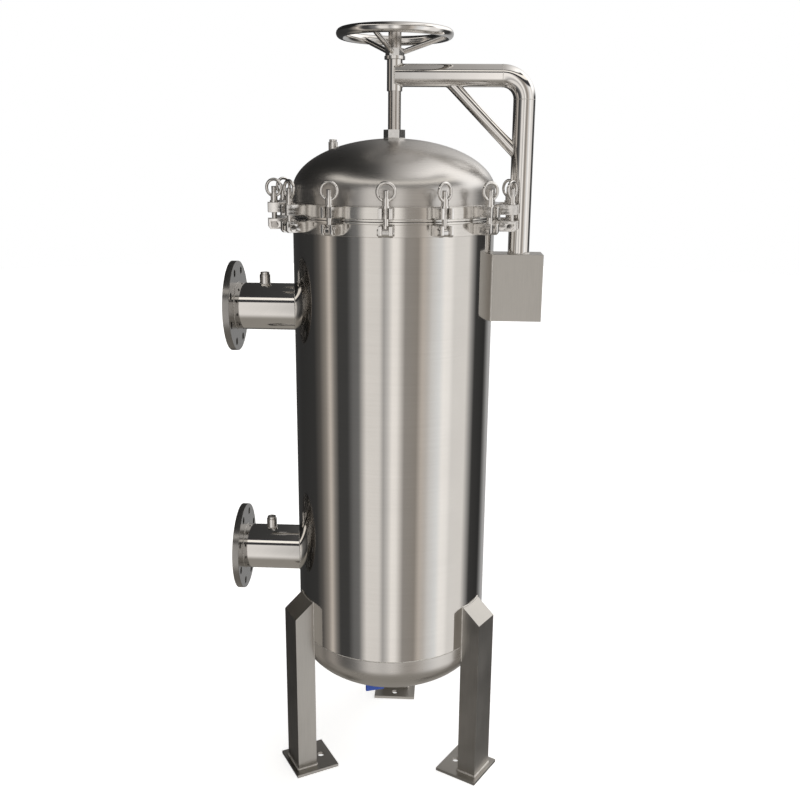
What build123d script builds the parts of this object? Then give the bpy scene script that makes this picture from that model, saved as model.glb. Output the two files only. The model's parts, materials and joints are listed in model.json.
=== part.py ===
"""Multi-bag filter housing: a welded stainless vessel on three legs, with a domed lid that is
held down by hinged swing bolts and lifted by a handwheel and screw on a davit arm.

Millimetres, +Z up. The origin is where the vessel's axis meets the floor. Azimuths are measured
from the front (-Y) towards +X.
"""
from build123d import *
import os
from math import cos, radians, sin, sqrt

# ---------------------------------------------------------------- vessel
SHELL_OD = 480.0
SHELL_WALL = 4.0
SHELL_R = SHELL_OD / 2
SHELL_BORE = SHELL_R - SHELL_WALL
HEAD_SEAM_Z = 367.0  # weld between the shell and the bottom head
HEAD_SKIRT = 25.0  # straight skirt of each dished head
HEAD_DEPTH = SHELL_R / 2  # both heads are 2:1, measured outside
HEAD_Z = HEAD_SEAM_Z - HEAD_SKIRT  # where the bottom head begins to curve
HEAD_BOTTOM_Z = HEAD_Z - HEAD_DEPTH
WELD_GAP = 0.2  # root gap between pieces that are welded together
SLIP_FIT = 0.2  # radial gap of a piece that slides over another before it is welded

# ---------------------------------------------------------------- filter elements
BAG_COUNT = 4
BASKET_LENGTH = 780.0
BASKET_BELOW_HEAD = 12.0  # flat bottom of the baskets below the start of the bottom head
BASKET_WALL = 2.0
BASKET_RIM_THICKNESS = 4.0
BASKET_RIM_WIDTH = 9.0
BASKET_RIM_INSET = 11.0  # rims short of the shell's bore
BASKET_RIM_SPACE = 14.3  # between the rims of two baskets
BASKET_GAP = 1.0  # basket in its hole
TUBE_PLATE_THICKNESS = 8.0
TUBE_PLATE_GAP = 2.0  # around the plate's edge
TUBE_PLATE_Z = HEAD_Z - BASKET_BELOW_HEAD + BASKET_LENGTH  # top face
LEDGE_WIDTH = 14.0
LEDGE_THICKNESS = 8.0
BAG_GAP = 0.3  # bag in its basket
BAG_WALL = 2.5
BAG_BOTTOM_RADIUS = 40.0
BAG_RIM_HEIGHT = 10.0
BAG_RIM_OVERLAP = 6.0
HOLD_DOWN_HEIGHT = 30.0
HOLD_DOWN_INSET = 5.0  # middle of the hold-down ring inside the basket's wall
HOLD_DOWN_BAR = 6.0
HOLD_DOWN_GAP = 0.3
BASKET_SPREAD = sin(radians(180 / BAG_COUNT))  # half the distance of two baskets over their circle
BASKET_CIRCLE_RADIUS = (SHELL_BORE - BASKET_RIM_INSET + BASKET_RIM_SPACE / 2) / (1 + BASKET_SPREAD)
BASKET_RIM_RADIUS = BASKET_CIRCLE_RADIUS * BASKET_SPREAD - BASKET_RIM_SPACE / 2
BASKET_RADIUS = BASKET_RIM_RADIUS - BASKET_RIM_WIDTH
HOLD_DOWN_RADIUS = BASKET_RADIUS - HOLD_DOWN_INSET

# ---------------------------------------------------------------- nozzles
NOZZLE_LENGTH = 160.0  # shell to the flange face
INLET_ABOVE_PLATE = 87.0
OUTLET_ABOVE_SEAM = 192.0
PIPE_OD = 114.3
PIPE_WALL = 3.0
FLANGE_OD = 220.0
FLANGE_THICKNESS = 18.0
FLANGE_PCD = 180.0
FLANGE_HOLES = 8
FLANGE_HOLE_RADIUS = 9.0
PIPE_SETBACK = 3.0  # pipe end behind the flange face
RAISED_FACE_RADIUS = 79.0
RAISED_FACE_HEIGHT = 2.0
PORT_SETBACK = 85.0  # gauge ports behind the flange face
PORT_OD = 26.0
PORT_BORE_RADIUS = 8.0
PORT_HEIGHT = 21.0
PLUG_HEAD_RADIUS = 11.0
PLUG_HEAD_HEIGHT = 6.0
PLUG_DEPTH = 12.0
PLUG_SOCKET_AF = 8.0
PIPE_R = PIPE_OD / 2
NOZZLE_REACH = SHELL_R + NOZZLE_LENGTH
PORT_REACH = NOZZLE_REACH - PORT_SETBACK
INLET_Z = TUBE_PLATE_Z + INLET_ABOVE_PLATE
OUTLET_Z = HEAD_SEAM_Z + OUTLET_ABOVE_SEAM

# ---------------------------------------------------------------- closure
JOINT_ABOVE_INLET = 223.0
GASKET_WIDTH = 8.0
GASKET_GROOVE_DEPTH = 4.0
GASKET_SHOW = 1.0  # how far the gasket stands over the body flange
GASKET_SIDE_GAP = 0.3
GASKET_INSET = 8.0  # middle of the gasket inside the shell's outer face
BAND_HEIGHT = 32.0  # outer band of each flange
BAND_THICKNESS = 10.0
LIP_THICKNESS = 5.0
LIP_PROUD = 3.5  # how far each flange lip stands out of its band
LIP_INSET = 16.0  # and how far it reaches in past the shell's outer face
BEAD_PROUD = 2.0  # rolled bead at the top edge of the lid flange band
BEAD_HEIGHT = 1.2
BAND_INNER = SHELL_R + SLIP_FIT
BAND_OUTER = BAND_INNER + BAND_THICKNESS
LIP_OUTER = BAND_OUTER + LIP_PROUD
LIP_INNER = SHELL_R - LIP_INSET
GASKET_RADIUS = SHELL_R - GASKET_INSET
JOINT_Z = INLET_Z + JOINT_ABOVE_INLET  # top face of the body flange
SHELL_TOP_Z = JOINT_Z - LIP_THICKNESS
LID_Z = JOINT_Z + GASKET_SHOW
LID_SKIRT_Z = LID_Z + LIP_THICKNESS
LID_BAND_TOP_Z = LID_Z + BAND_HEIGHT
DOME_Z = LID_BAND_TOP_Z + HEAD_SKIRT  # where the lid's dished head begins to curve
DOME_TOP_Z = DOME_Z + HEAD_DEPTH

# ---------------------------------------------------------------- swing bolts
BOLT_COUNT = 14
BOLT_OUTREACH = 32.8  # bolt axis outside the flange bands
PIN_DROP = 19.0  # pin axis below the top of the body flange
PIN_RADIUS = 5.0
PIN_HEAD_RADIUS = 7.5
PIN_HEAD_LENGTH = 3.0
PIN_CLEARANCE = 0.05
BOLT_RADIUS = 6.0
BOLT_EYE_RADIUS = 10.0
BOLT_TIP = 86.0  # pin axis to the tip of the bolt
SEAT_HEIGHT = 51.0  # pin axis to the underside of the eye nut
SEAT_GAP = 0.3  # nut above its lug
LUG_THICKNESS = 8.0
LUG_SLOT = 14.5  # gap between the two cheeks of a lug
LUG_OUTREACH = 15.0  # cheeks beyond the bolt axis
SEAT_OUTREACH = 3.4  # raised seat beyond the bolt axis
SEAT_STEP = 11.0  # the shoulder outside the seat is this much lower
LOWER_LUG_BELOW_PIN = 10.0
LOWER_LUG_ABOVE_PIN = 14.0
UPPER_LUG_HEIGHT = 23.0
LUG_CORNER = 6.0
NUT_FLANGE_RADIUS = 10.0
NUT_FLANGE_HEIGHT = 4.0
NUT_COLLAR_RADIUS = 8.0
NUT_COLLAR_HEIGHT = 19.0
NUT_THREAD_CLEARANCE = 0.05
RING_RADIUS = 18.5  # middle of the ring's bar
RING_BAR_RADIUS = 3.5
RING_HEIGHT = 84.0  # pin axis to the ring's centre
RING_TURNS = (0, 22, -18, -20, 30, -40, 15, 50, -20, 70, -30, 62, 5, 12)  # degrees, as left by hand
BOLT_CIRCLE_RADIUS = BAND_OUTER + BOLT_OUTREACH
LUG_HALF = LUG_SLOT / 2 + LUG_THICKNESS
PIN_Z = JOINT_Z - PIN_DROP
SEAT_Z = PIN_Z + SEAT_HEIGHT

# ---------------------------------------------------------------- lid: boss, lift screw and vent
BOSS_AF = 44.0
BOSS_HEIGHT = 19.5  # above the top of the dome
SCREW_RADIUS = 15.0
SCREW_CLEARANCE = 0.08
LID_LIFT = 85.0  # travel of the lid
LIFT_CLEARANCE = 0.5  # boss under the sleeve with the lid right up
VENT_INSET = 89.0  # vent inside the shell's outer face
VENT_AZIMUTH = -101.5
VENT_OD = 22.0
VENT_HEIGHT = 18.0
VENT_BORE_RADIUS = 6.5
BOSS_TOP_Z = DOME_TOP_Z + BOSS_HEIGHT
VENT_REACH = SHELL_R - VENT_INSET
VENT_X = VENT_REACH * sin(radians(VENT_AZIMUTH))
VENT_Y = -VENT_REACH * cos(radians(VENT_AZIMUTH))

# ---------------------------------------------------------------- davit
COLUMN_OUTREACH = 60.0  # column axis outside the shell
DAVIT_TUBE_OD = 51.0
DAVIT_TUBE_WALL = 3.0
ELBOW_RADIUS = 52.0
SLEEVE_OD = 36.0
SLEEVE_BELOW_ARM = 9.5  # past the underside of the arm's tube
SLEEVE_ABOVE_ARM = 8.5  # past its top
BRACE_OD = 27.0
BRACE_SPAN = 161.0  # column axis to where the brace meets the arm, and the same down the column
BOX_OUTREACH = 57.0  # bracket beyond the column's axis
BOX_WIDTH = 80.0
BOX_HEIGHT = 159.0
BOX_BELOW_JOINT = 85.0
BOX_WALL = 4.0
COLUMN_CLEARANCE = 0.3
COLUMN_R = DAVIT_TUBE_OD / 2
COLUMN_X = SHELL_R + COLUMN_OUTREACH
SLEEVE_R = SLEEVE_OD / 2
SLEEVE_BOTTOM_Z = BOSS_TOP_Z + LID_LIFT + LIFT_CLEARANCE
ARM_Z = SLEEVE_BOTTOM_Z + SLEEVE_BELOW_ARM + COLUMN_R
SLEEVE_TOP_Z = ARM_Z + COLUMN_R + SLEEVE_ABOVE_ARM
BRACE_ARM_X = COLUMN_X - BRACE_SPAN
BRACE_COLUMN_Z = ARM_Z - BRACE_SPAN
BOX_OUTER_X = COLUMN_X + BOX_OUTREACH
BOX_TOP_Z = JOINT_Z - BOX_BELOW_JOINT
BOX_BOTTOM_Z = BOX_TOP_Z - BOX_HEIGHT

# ---------------------------------------------------------------- handwheel
HUB_COLLAR_RADIUS = 24.0
HUB_COLLAR_HEIGHT = 7.0
HUB_AF = 38.0
HUB_HEIGHT = 24.0
HUB_GAP = 0.3
WHEEL_RADIUS = 123.5
WHEEL_BAR_RADIUS = 11.0
SPOKE_COUNT = 3
SPOKE_AZIMUTH = 100.0  # of the first spoke
SPOKE_RADIUS = 6.0
SPOKE_FOOT = 10.0  # spoke axes leave the screw's axis this far above the sleeve
SPOKE_RISE = 45.0  # and rise this much to the rim
SCREW_PROUD = 25.0  # screw above the rim's middle
SPOKE_FOOT_Z = SLEEVE_TOP_Z + SPOKE_FOOT
WHEEL_Z = SPOKE_FOOT_Z + SPOKE_RISE
SCREW_TOP_Z = WHEEL_Z + SCREW_PROUD

# ---------------------------------------------------------------- legs
LEG_NAMES = ("right", "rear", "left")
LEG_SETBACK = 5.0  # inner side of each leg inside the shell's outer face
LEG_DEPTH = 50.0
LEG_WIDTH = 76.0
LEG_WALL = 3.0
LEG_ABOVE_SEAM = 70.0  # outer top edge
LEG_TOP_RISE = 41.0  # from the outer top edge to the inner one
LEG_ROOM_REACH = 60.0  # the tube's room is cut this far past its inner wall
LEG_TOP_WALL_FACTOR = 1.3  # height of the slanted top plate over its thickness
FOOT_INSIDE_LEG = 53.0
FOOT_OUTSIDE_LEG = 11.0
FOOT_WIDTH = 118.0
FOOT_THICKNESS = 8.0
FOOT_HOLE_RADIUS = 9.0
FOOT_HOLE_EDGE = 26.0  # anchor hole from the plate's inner edge
LEG_INNER = SHELL_R - LEG_SETBACK
LEG_OUTER = LEG_INNER + LEG_DEPTH
LEG_TOP_OUTER_Z = HEAD_SEAM_Z + LEG_ABOVE_SEAM
LEG_TOP_INNER_Z = LEG_TOP_OUTER_Z + LEG_TOP_RISE
FOOT_INNER = LEG_INNER - FOOT_INSIDE_LEG
FOOT_OUTER = LEG_OUTER + FOOT_OUTSIDE_LEG
FOOT_HOLE_REACH = FOOT_INNER + FOOT_HOLE_EDGE

# ---------------------------------------------------------------- drain
DRAIN_PIPE_RADIUS = 13.5
DRAIN_BORE_RADIUS = 7.0
DRAIN_SOCKET_LENGTH = 14.0
VALVE_LENGTH = 52.0
VALVE_BODY_RADIUS = 19.0
VALVE_END_AF = 34.0
VALVE_END_LENGTH = 12.0
VALVE_BALL_RADIUS = 14.0
VALVE_AZIMUTH = 20.0  # direction of the stem
OUTLET_THREAD_RADIUS = 9.5
OUTLET_THREAD_LENGTH = 11.0
OUTLET_RELIEF_RADIUS = 10.5
OUTLET_RELIEF_LENGTH = 1.0
STEM_RADIUS = 5.0
STEM_REACH = 34.0
STEM_SINK = 3.0  # stem into the ball
STEM_CLEARANCE = 0.05
BONNET_RADIUS = 9.0
BONNET_REACH = 27.0
LEVER_THICKNESS = 3.0
LEVER_WIDTH = 20.0
LEVER_LENGTH = 80.0
LEVER_OFFSET = 9.0
LEVER_GAP = 0.3
GRIP_LENGTH = 52.0
GRIP_WIDTH = 25.0
GRIP_THICKNESS = 9.0
GRIP_CORNER = 3.6
DRAIN_SOCKET_BOTTOM_Z = HEAD_BOTTOM_Z - DRAIN_SOCKET_LENGTH / 2
VALVE_TOP_Z = DRAIN_SOCKET_BOTTOM_Z
VALVE_Z = VALVE_TOP_Z - VALVE_LENGTH / 2  # centre of the ball


def save(name, *solids):
    """Writes one sub-part, made of one or more separate solids."""
    found = [s for shape in solids for s in shape.solids()]
    shape = found[0] if len(found) == 1 else Compound(found)
    export_step(shape, f"parts/{name}.step")


def rod(radius, z0, z1, x=0.0, y=0.0):
    """An upright round bar."""
    bar = Cylinder(radius, z1 - z0, align=(Align.CENTER, Align.CENTER, Align.MIN))
    return Pos(x, y, z0) * bar


def tube(outer, inner, z0, z1, x=0.0, y=0.0):
    """An upright round tube."""
    return rod(outer, z0, z1, x, y) - rod(inner, z0 - 1, z1 + 1, x, y)


def hexagon(across_flats, z0, z1, x=0.0, y=0.0):
    """An upright hexagonal bar."""
    face = RegularPolygon(across_flats / 2, 6, major_radius=False)
    return Pos(x, y, z0) * extrude(face, z1 - z0)


def between(radius, start, end):
    """A round bar from one point to another."""
    path = Line(start, end)
    return extrude(Plane(start, z_dir=path % 0) * Circle(radius), path.length)


def turned(points):
    """A ring turned about the vessel's axis from points of (radius, height)."""
    return revolve(Plane.XZ * make_face(Polyline(*points, close=True)), Axis.Z)


def at_azimuth(shape, azimuth):
    """Turns a shape made along +X round to an azimuth."""
    return Rot(0, 0, azimuth - 90) * shape


def dished_head(top_radius, depth, skirt, wall):
    """A 2:1 dished head opening downwards, with the end of its curve at height 0."""

    def outline(radius, height, low):
        crown = EllipticalCenterArc((0, 0), radius, height, start_angle=0, arc_size=90)
        side = Line((radius, low), (radius, 0))
        base = Line((0, low), (radius, low))
        axis = Line((0, height), (0, low))
        return revolve(Plane.XZ * make_face([crown, side, base, axis]), Axis.Z)

    return outline(top_radius, depth, -skirt) - outline(top_radius - wall, depth - wall, -skirt - 1)


def crown_solid(grown):
    """Outer form of a dished head above height 0, grown by a gap."""
    crown = EllipticalCenterArc((0, 0), SHELL_R + grown, HEAD_DEPTH + grown, start_angle=0, arc_size=90)
    base = Line((0, 0), (SHELL_R + grown, 0))
    axis = Line((0, HEAD_DEPTH + grown), (0, 0))
    return revolve(Plane.XZ * make_face([crown, base, axis]), Axis.Z)


# ================================================================ vessel
def make_shell():
    """Rolled shell with the holes that the two nozzles are welded into."""
    shell = tube(SHELL_R, SHELL_BORE, HEAD_SEAM_Z, SHELL_TOP_Z)
    for z in (INLET_Z, OUTLET_Z):
        hole = Pos(-SHELL_R, 0, z) * Rot(0, 90, 0) * Cylinder(PIPE_R - PIPE_WALL, SHELL_OD / 2)
        shell -= hole
    return shell


def make_bottom_head():
    head = dished_head(SHELL_R, HEAD_DEPTH, HEAD_SKIRT, SHELL_WALL)
    head = Pos(0, 0, HEAD_Z) * Rot(180, 0, 0) * head
    return head - rod(DRAIN_BORE_RADIUS, HEAD_BOTTOM_Z - 1, HEAD_BOTTOM_Z + SHELL_WALL * 2)


def make_body_flange():
    """Band and lip round the shell's mouth, with the gasket's groove in the lip."""
    groove = GASKET_WIDTH / 2 + GASKET_SIDE_GAP
    ring = turned(
        [
            (BAND_INNER, JOINT_Z - BAND_HEIGHT),
            (BAND_OUTER, JOINT_Z - BAND_HEIGHT),
            (BAND_OUTER, SHELL_TOP_Z),
            (LIP_OUTER, SHELL_TOP_Z),
            (LIP_OUTER, JOINT_Z),
            (LIP_INNER, JOINT_Z),
            (LIP_INNER, SHELL_TOP_Z),
            (BAND_INNER, SHELL_TOP_Z),
        ]
    )
    cut = tube(GASKET_RADIUS + groove, GASKET_RADIUS - groove, JOINT_Z - GASKET_GROOVE_DEPTH, JOINT_Z + 1)
    return ring - cut


def make_gasket():
    half = GASKET_WIDTH / 2
    return tube(GASKET_RADIUS + half, GASKET_RADIUS - half, JOINT_Z - GASKET_GROOVE_DEPTH, LID_Z)


def make_nozzle(z):
    """Pipe and slip-on flange of one nozzle, lying along -X."""
    face_x = NOZZLE_REACH
    pipe = tube(PIPE_R, PIPE_R - PIPE_WALL, 0, face_x - PIPE_SETBACK)
    pipe = Pos(0, 0, z) * Rot(0, -90, 0) * pipe
    pipe -= rod(SHELL_R + WELD_GAP, z - FLANGE_OD, z + FLANGE_OD)
    flange = rod(FLANGE_OD / 2, face_x - FLANGE_THICKNESS, face_x - RAISED_FACE_HEIGHT)
    flange += rod(RAISED_FACE_RADIUS, face_x - RAISED_FACE_HEIGHT, face_x)
    flange -= rod(PIPE_R + SLIP_FIT, face_x - FLANGE_THICKNESS - 1, face_x + 1)
    half_step = 180 / FLANGE_HOLES
    for place in PolarLocations(FLANGE_PCD / 2, FLANGE_HOLES, start_angle=half_step):
        flange -= place * rod(FLANGE_HOLE_RADIUS, face_x - FLANGE_THICKNESS - 1, face_x + 1)
    flange = Pos(0, 0, z) * Rot(0, -90, 0) * flange
    pipe -= Pos(-PORT_REACH, 0, 0) * rod(PORT_BORE_RADIUS, z, z + PIPE_OD)
    return pipe, flange


def make_port(z):
    """Gauge socket on top of a nozzle, and its hexagon-socket plug."""
    top = z + PIPE_R + PORT_HEIGHT
    socket = Pos(-PORT_REACH, 0, 0) * tube(PORT_OD / 2, PORT_BORE_RADIUS, z, top)
    socket -= Pos(0, 0, z) * Rot(0, -90, 0) * rod(PIPE_R + WELD_GAP, 0, NOZZLE_REACH)
    plug = make_plug(PORT_BORE_RADIUS, PLUG_HEAD_RADIUS)
    return socket, Pos(-PORT_REACH, 0, top) * plug


def make_plug(bore_radius, head_radius):
    """Pipe plug that seats at height 0."""
    plug = rod(bore_radius - SLIP_FIT, -PLUG_DEPTH, 0) + rod(head_radius, 0, PLUG_HEAD_HEIGHT)
    return plug - hexagon(PLUG_SOCKET_AF, PLUG_HEAD_HEIGHT / 3, PLUG_HEAD_HEIGHT + 1)


# ================================================================ closure clamps
def lug_pair(profile, azimuth):
    """Two cheeks with a profile of (radius, height), one each side of a bolt's slot."""
    sketch = Plane.XZ * profile
    cheeks = []
    for side in (LUG_SLOT / 2, -LUG_SLOT / 2 - LUG_THICKNESS):
        cheek = Pos(0, side + LUG_THICKNESS, 0) * extrude(sketch, LUG_THICKNESS)
        cheeks.append(at_azimuth(cheek, azimuth))
    return cheeks


def lower_lug_profile():
    low, high = PIN_Z - LOWER_LUG_BELOW_PIN, PIN_Z + LOWER_LUG_ABOVE_PIN
    inner, outer = BAND_OUTER + WELD_GAP, BOLT_CIRCLE_RADIUS + LUG_OUTREACH
    face = make_face(Polyline((inner, low), (outer, low), (outer, high), (inner, high), close=True))
    face = fillet(face.vertices().group_by(Axis.X)[-1], LUG_CORNER)
    return face - Pos(BOLT_CIRCLE_RADIUS, PIN_Z) * Circle(PIN_RADIUS + PIN_CLEARANCE)


def upper_lug_profile():
    low, high = SEAT_Z - UPPER_LUG_HEIGHT, SEAT_Z - SEAT_GAP
    inner, outer = BAND_OUTER + WELD_GAP, BOLT_CIRCLE_RADIUS + LUG_OUTREACH
    seat = BOLT_CIRCLE_RADIUS + SEAT_OUTREACH
    step = high - SEAT_STEP
    points = [(inner, low), (outer, low), (outer, step), (seat, step), (seat, high), (inner, high)]
    face = make_face(Polyline(*points, close=True))
    return fillet(face.vertices().group_by(Axis.X)[-1], LUG_CORNER / 2)


def make_pin(azimuth):
    """Clevis pin through one pair of lower cheeks, lying across the bolt's plane."""
    reach = LUG_HALF + SEAT_GAP
    pin = rod(PIN_RADIUS, -reach, reach)
    for side in (-reach - PIN_HEAD_LENGTH, reach):
        pin += rod(PIN_HEAD_RADIUS, side, side + PIN_HEAD_LENGTH)
    pin = Pos(BOLT_CIRCLE_RADIUS, 0, PIN_Z) * Rot(90, 0, 0) * pin
    return at_azimuth(pin, azimuth)


def make_swing_bolt(azimuth, ring_turn):
    """Eye bolt that hinges on its pin, and the ring nut screwed on it."""
    eye_half = LUG_SLOT / 2 - SEAT_GAP
    eye = Rot(90, 0, 0) * rod(BOLT_EYE_RADIUS, -eye_half, eye_half)
    bolt = eye + rod(BOLT_RADIUS, 0, BOLT_TIP)
    bolt -= Rot(90, 0, 0) * rod(PIN_RADIUS + PIN_CLEARANCE, -eye_half - 1, eye_half + 1)
    nut = rod(NUT_FLANGE_RADIUS, SEAT_HEIGHT, SEAT_HEIGHT + NUT_FLANGE_HEIGHT)
    nut += rod(NUT_COLLAR_RADIUS, SEAT_HEIGHT, SEAT_HEIGHT + NUT_COLLAR_HEIGHT)
    ring = Rot(0, 0, ring_turn) * Rot(0, 90, 0) * Torus(RING_RADIUS, RING_BAR_RADIUS)
    nut += Pos(0, 0, RING_HEIGHT) * ring
    bore_top = SEAT_HEIGHT + NUT_COLLAR_HEIGHT + RING_BAR_RADIUS
    nut -= rod(BOLT_RADIUS + NUT_THREAD_CLEARANCE, SEAT_HEIGHT - 1, bore_top)
    place = Pos(BOLT_CIRCLE_RADIUS, 0, PIN_Z)
    return at_azimuth(place * bolt, azimuth), at_azimuth(place * nut, azimuth)


# ================================================================ lid
def make_lid_flange():
    """Lip and band round the lid, with a rolled bead along the band's top edge."""
    return turned(
        [
            (LIP_INNER, LID_Z),
            (LIP_OUTER, LID_Z),
            (LIP_OUTER, LID_SKIRT_Z),
            (BAND_OUTER, LID_SKIRT_Z),
            (BAND_OUTER, LID_BAND_TOP_Z - BEAD_HEIGHT),
            (BAND_OUTER + BEAD_PROUD, LID_BAND_TOP_Z - BEAD_HEIGHT),
            (BAND_OUTER + BEAD_PROUD, LID_BAND_TOP_Z),
            (BAND_INNER, LID_BAND_TOP_Z),
            (BAND_INNER, LID_SKIRT_Z),
            (LIP_INNER, LID_SKIRT_Z),
        ]
    )


def make_lid_dome():
    skirt = DOME_Z - LID_SKIRT_Z
    dome = Pos(0, 0, DOME_Z) * dished_head(SHELL_R, HEAD_DEPTH, skirt, SHELL_WALL)
    return dome - rod(VENT_BORE_RADIUS, DOME_Z, DOME_TOP_Z, VENT_X, VENT_Y)


def make_vent():
    base = DOME_Z + HEAD_DEPTH * sqrt(1 - (VENT_REACH / SHELL_R) ** 2)
    top = base + VENT_HEIGHT
    socket = tube(VENT_OD / 2, VENT_BORE_RADIUS, DOME_Z + VENT_HEIGHT, top, VENT_X, VENT_Y)
    socket -= Pos(0, 0, DOME_Z) * crown_solid(WELD_GAP)
    plug = Pos(VENT_X, VENT_Y, top) * make_plug(VENT_BORE_RADIUS, VENT_OD / 2 - 2)
    return socket, plug


def make_lid_boss():
    """Hexagon boss on the lid's crown that the lift screw is fixed in."""
    boss = hexagon(BOSS_AF, DOME_Z + HEAD_DEPTH / 2, BOSS_TOP_Z)
    boss -= rod(SCREW_RADIUS + SLIP_FIT, DOME_Z, BOSS_TOP_Z + 1)
    return boss - Pos(0, 0, DOME_Z) * crown_solid(WELD_GAP)


# ================================================================ handwheel
def make_wheel_hub():
    low = SLEEVE_TOP_Z + HUB_GAP
    hub = rod(HUB_COLLAR_RADIUS, low, low + HUB_COLLAR_HEIGHT)
    hub += hexagon(HUB_AF, low, low + HUB_HEIGHT)
    return hub - rod(SCREW_RADIUS + SCREW_CLEARANCE, low - 1, low + HUB_HEIGHT + 1)


def make_wheel_rim():
    return Pos(0, 0, WHEEL_Z) * Torus(WHEEL_RADIUS, WHEEL_BAR_RADIUS)


def make_spoke(azimuth):
    """Straight spoke from the hub up to the inside of the rim."""
    spoke = between(SPOKE_RADIUS, (0, 0, SPOKE_FOOT_Z), (WHEEL_RADIUS, 0, WHEEL_Z))
    spoke -= Pos(0, 0, WHEEL_Z) * Torus(WHEEL_RADIUS, WHEEL_BAR_RADIUS + WELD_GAP)
    spoke = at_azimuth(spoke, azimuth)
    spoke -= hexagon(HUB_AF + 2 * WELD_GAP, SLEEVE_TOP_Z, SLEEVE_TOP_Z + HUB_HEIGHT + HUB_GAP)
    spoke -= rod(HUB_AF / 2, SLEEVE_TOP_Z, WHEEL_Z)
    return spoke.solids().sort_by(SortBy.VOLUME)[-1]


# ================================================================ davit
def make_davit_box():
    """Sheet-metal bracket on the shell that the davit's column stands in."""
    depth = BOX_OUTER_X
    height = BOX_TOP_Z - BOX_BOTTOM_Z
    corner = (Align.MIN, Align.CENTER, Align.MIN)
    box = Pos(0, 0, BOX_BOTTOM_Z) * Box(depth, BOX_WIDTH, height, align=corner)
    room = Box(depth - BOX_WALL, BOX_WIDTH - 2 * BOX_WALL, height - 2 * BOX_WALL, align=corner)
    box -= Pos(0, 0, BOX_BOTTOM_Z + BOX_WALL) * room
    box -= rod(SHELL_R + WELD_GAP, BOX_BOTTOM_Z - 1, BOX_TOP_Z + 1)
    return box - rod(COLUMN_R + COLUMN_CLEARANCE, BOX_TOP_Z - BOX_WALL - 1, BOX_TOP_Z + 1, COLUMN_X)


def make_davit():
    """Column, elbow and arm as three pieces of tube, and the sleeve at the arm's end."""
    inner = COLUMN_R - DAVIT_TUBE_WALL
    bend_x, bend_z = COLUMN_X - ELBOW_RADIUS, ARM_Z - ELBOW_RADIUS
    column = tube(COLUMN_R, inner, BOX_BOTTOM_Z + BOX_WALL, bend_z, COLUMN_X)
    ring = Plane((COLUMN_X, 0, bend_z)) * (Circle(COLUMN_R) - Circle(inner))
    elbow = revolve(ring, Axis((bend_x, 0, bend_z), (0, -1, 0)), 90)
    arm = Pos(0, 0, ARM_Z) * Rot(0, 90, 0) * tube(COLUMN_R, inner, 0, bend_x)
    arm -= rod(SLEEVE_R + WELD_GAP, ARM_Z - DAVIT_TUBE_OD, ARM_Z + DAVIT_TUBE_OD)
    arm = arm.solids().sort_by(Axis.X)[-1]
    sleeve = tube(SLEEVE_R, SCREW_RADIUS + SCREW_CLEARANCE, SLEEVE_BOTTOM_Z, SLEEVE_TOP_Z)
    return column, elbow, arm, sleeve


def make_brace():
    """Diagonal tube between the arm and the column, coped to both."""
    start = (BRACE_ARM_X - COLUMN_R, 0, ARM_Z)
    end = (COLUMN_X, 0, BRACE_COLUMN_Z - COLUMN_R)
    brace = between(BRACE_OD / 2, start, end) - between(BRACE_OD / 2 - DAVIT_TUBE_WALL, start, end)
    brace -= Pos(0, 0, ARM_Z) * Rot(0, 90, 0) * rod(COLUMN_R + WELD_GAP, 0, COLUMN_X)
    brace -= rod(COLUMN_R + WELD_GAP, BOX_TOP_Z, ARM_Z, COLUMN_X)
    return brace.solids().sort_by(SortBy.VOLUME)[-1]


# ================================================================ legs
def make_leg(azimuth):
    """Rectangular tube coped to the shell, with its slanted top closed by a plate."""

    def outline(inset):
        inner = LEG_INNER - (LEG_ROOM_REACH if inset else 0)
        outer = LEG_OUTER - inset
        slope = (LEG_TOP_INNER_Z - LEG_TOP_OUTER_Z) / LEG_DEPTH
        top_in = LEG_TOP_OUTER_Z + slope * (outer + inset - inner) - inset * LEG_TOP_WALL_FACTOR
        top_out = LEG_TOP_OUTER_Z + slope * inset - inset * LEG_TOP_WALL_FACTOR
        low = FOOT_THICKNESS + (-1 if inset else WELD_GAP)
        points = [(inner, low), (outer, low), (outer, top_out), (inner, top_in)]
        return Plane.XZ * make_face(Polyline(*points, close=True))

    leg = extrude(outline(0), LEG_WIDTH / 2, both=True)
    room_inner = LEG_INNER + LEG_WALL
    room = extrude(outline(LEG_WALL), LEG_WIDTH / 2 - LEG_WALL, both=True)
    room = split(room, Plane((room_inner, 0, 0), z_dir=(1, 0, 0)), keep=Keep.TOP)
    leg -= room
    leg = at_azimuth(leg, azimuth)
    leg -= rod(SHELL_R + WELD_GAP, HEAD_Z, LEG_TOP_INNER_Z + LEG_DEPTH)
    leg -= Pos(0, 0, HEAD_Z) * Rot(180, 0, 0) * crown_solid(WELD_GAP)
    return leg.solids().sort_by(SortBy.VOLUME)[-1]


def make_foot(azimuth):
    length = FOOT_OUTER - FOOT_INNER
    plate = Pos((FOOT_INNER + FOOT_OUTER) / 2, 0, FOOT_THICKNESS / 2) * Box(length, FOOT_WIDTH, FOOT_THICKNESS)
    plate -= rod(FOOT_HOLE_RADIUS, -1, FOOT_THICKNESS + 1, FOOT_HOLE_REACH)
    return at_azimuth(plate, azimuth)


# ================================================================ filter elements
def basket_places():
    return PolarLocations(BASKET_CIRCLE_RADIUS, BAG_COUNT, start_angle=180 / BAG_COUNT)


def make_support_ledge():
    top = TUBE_PLATE_Z - TUBE_PLATE_THICKNESS
    return tube(SHELL_BORE - WELD_GAP, SHELL_BORE - LEDGE_WIDTH, top - LEDGE_THICKNESS, top)


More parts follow.
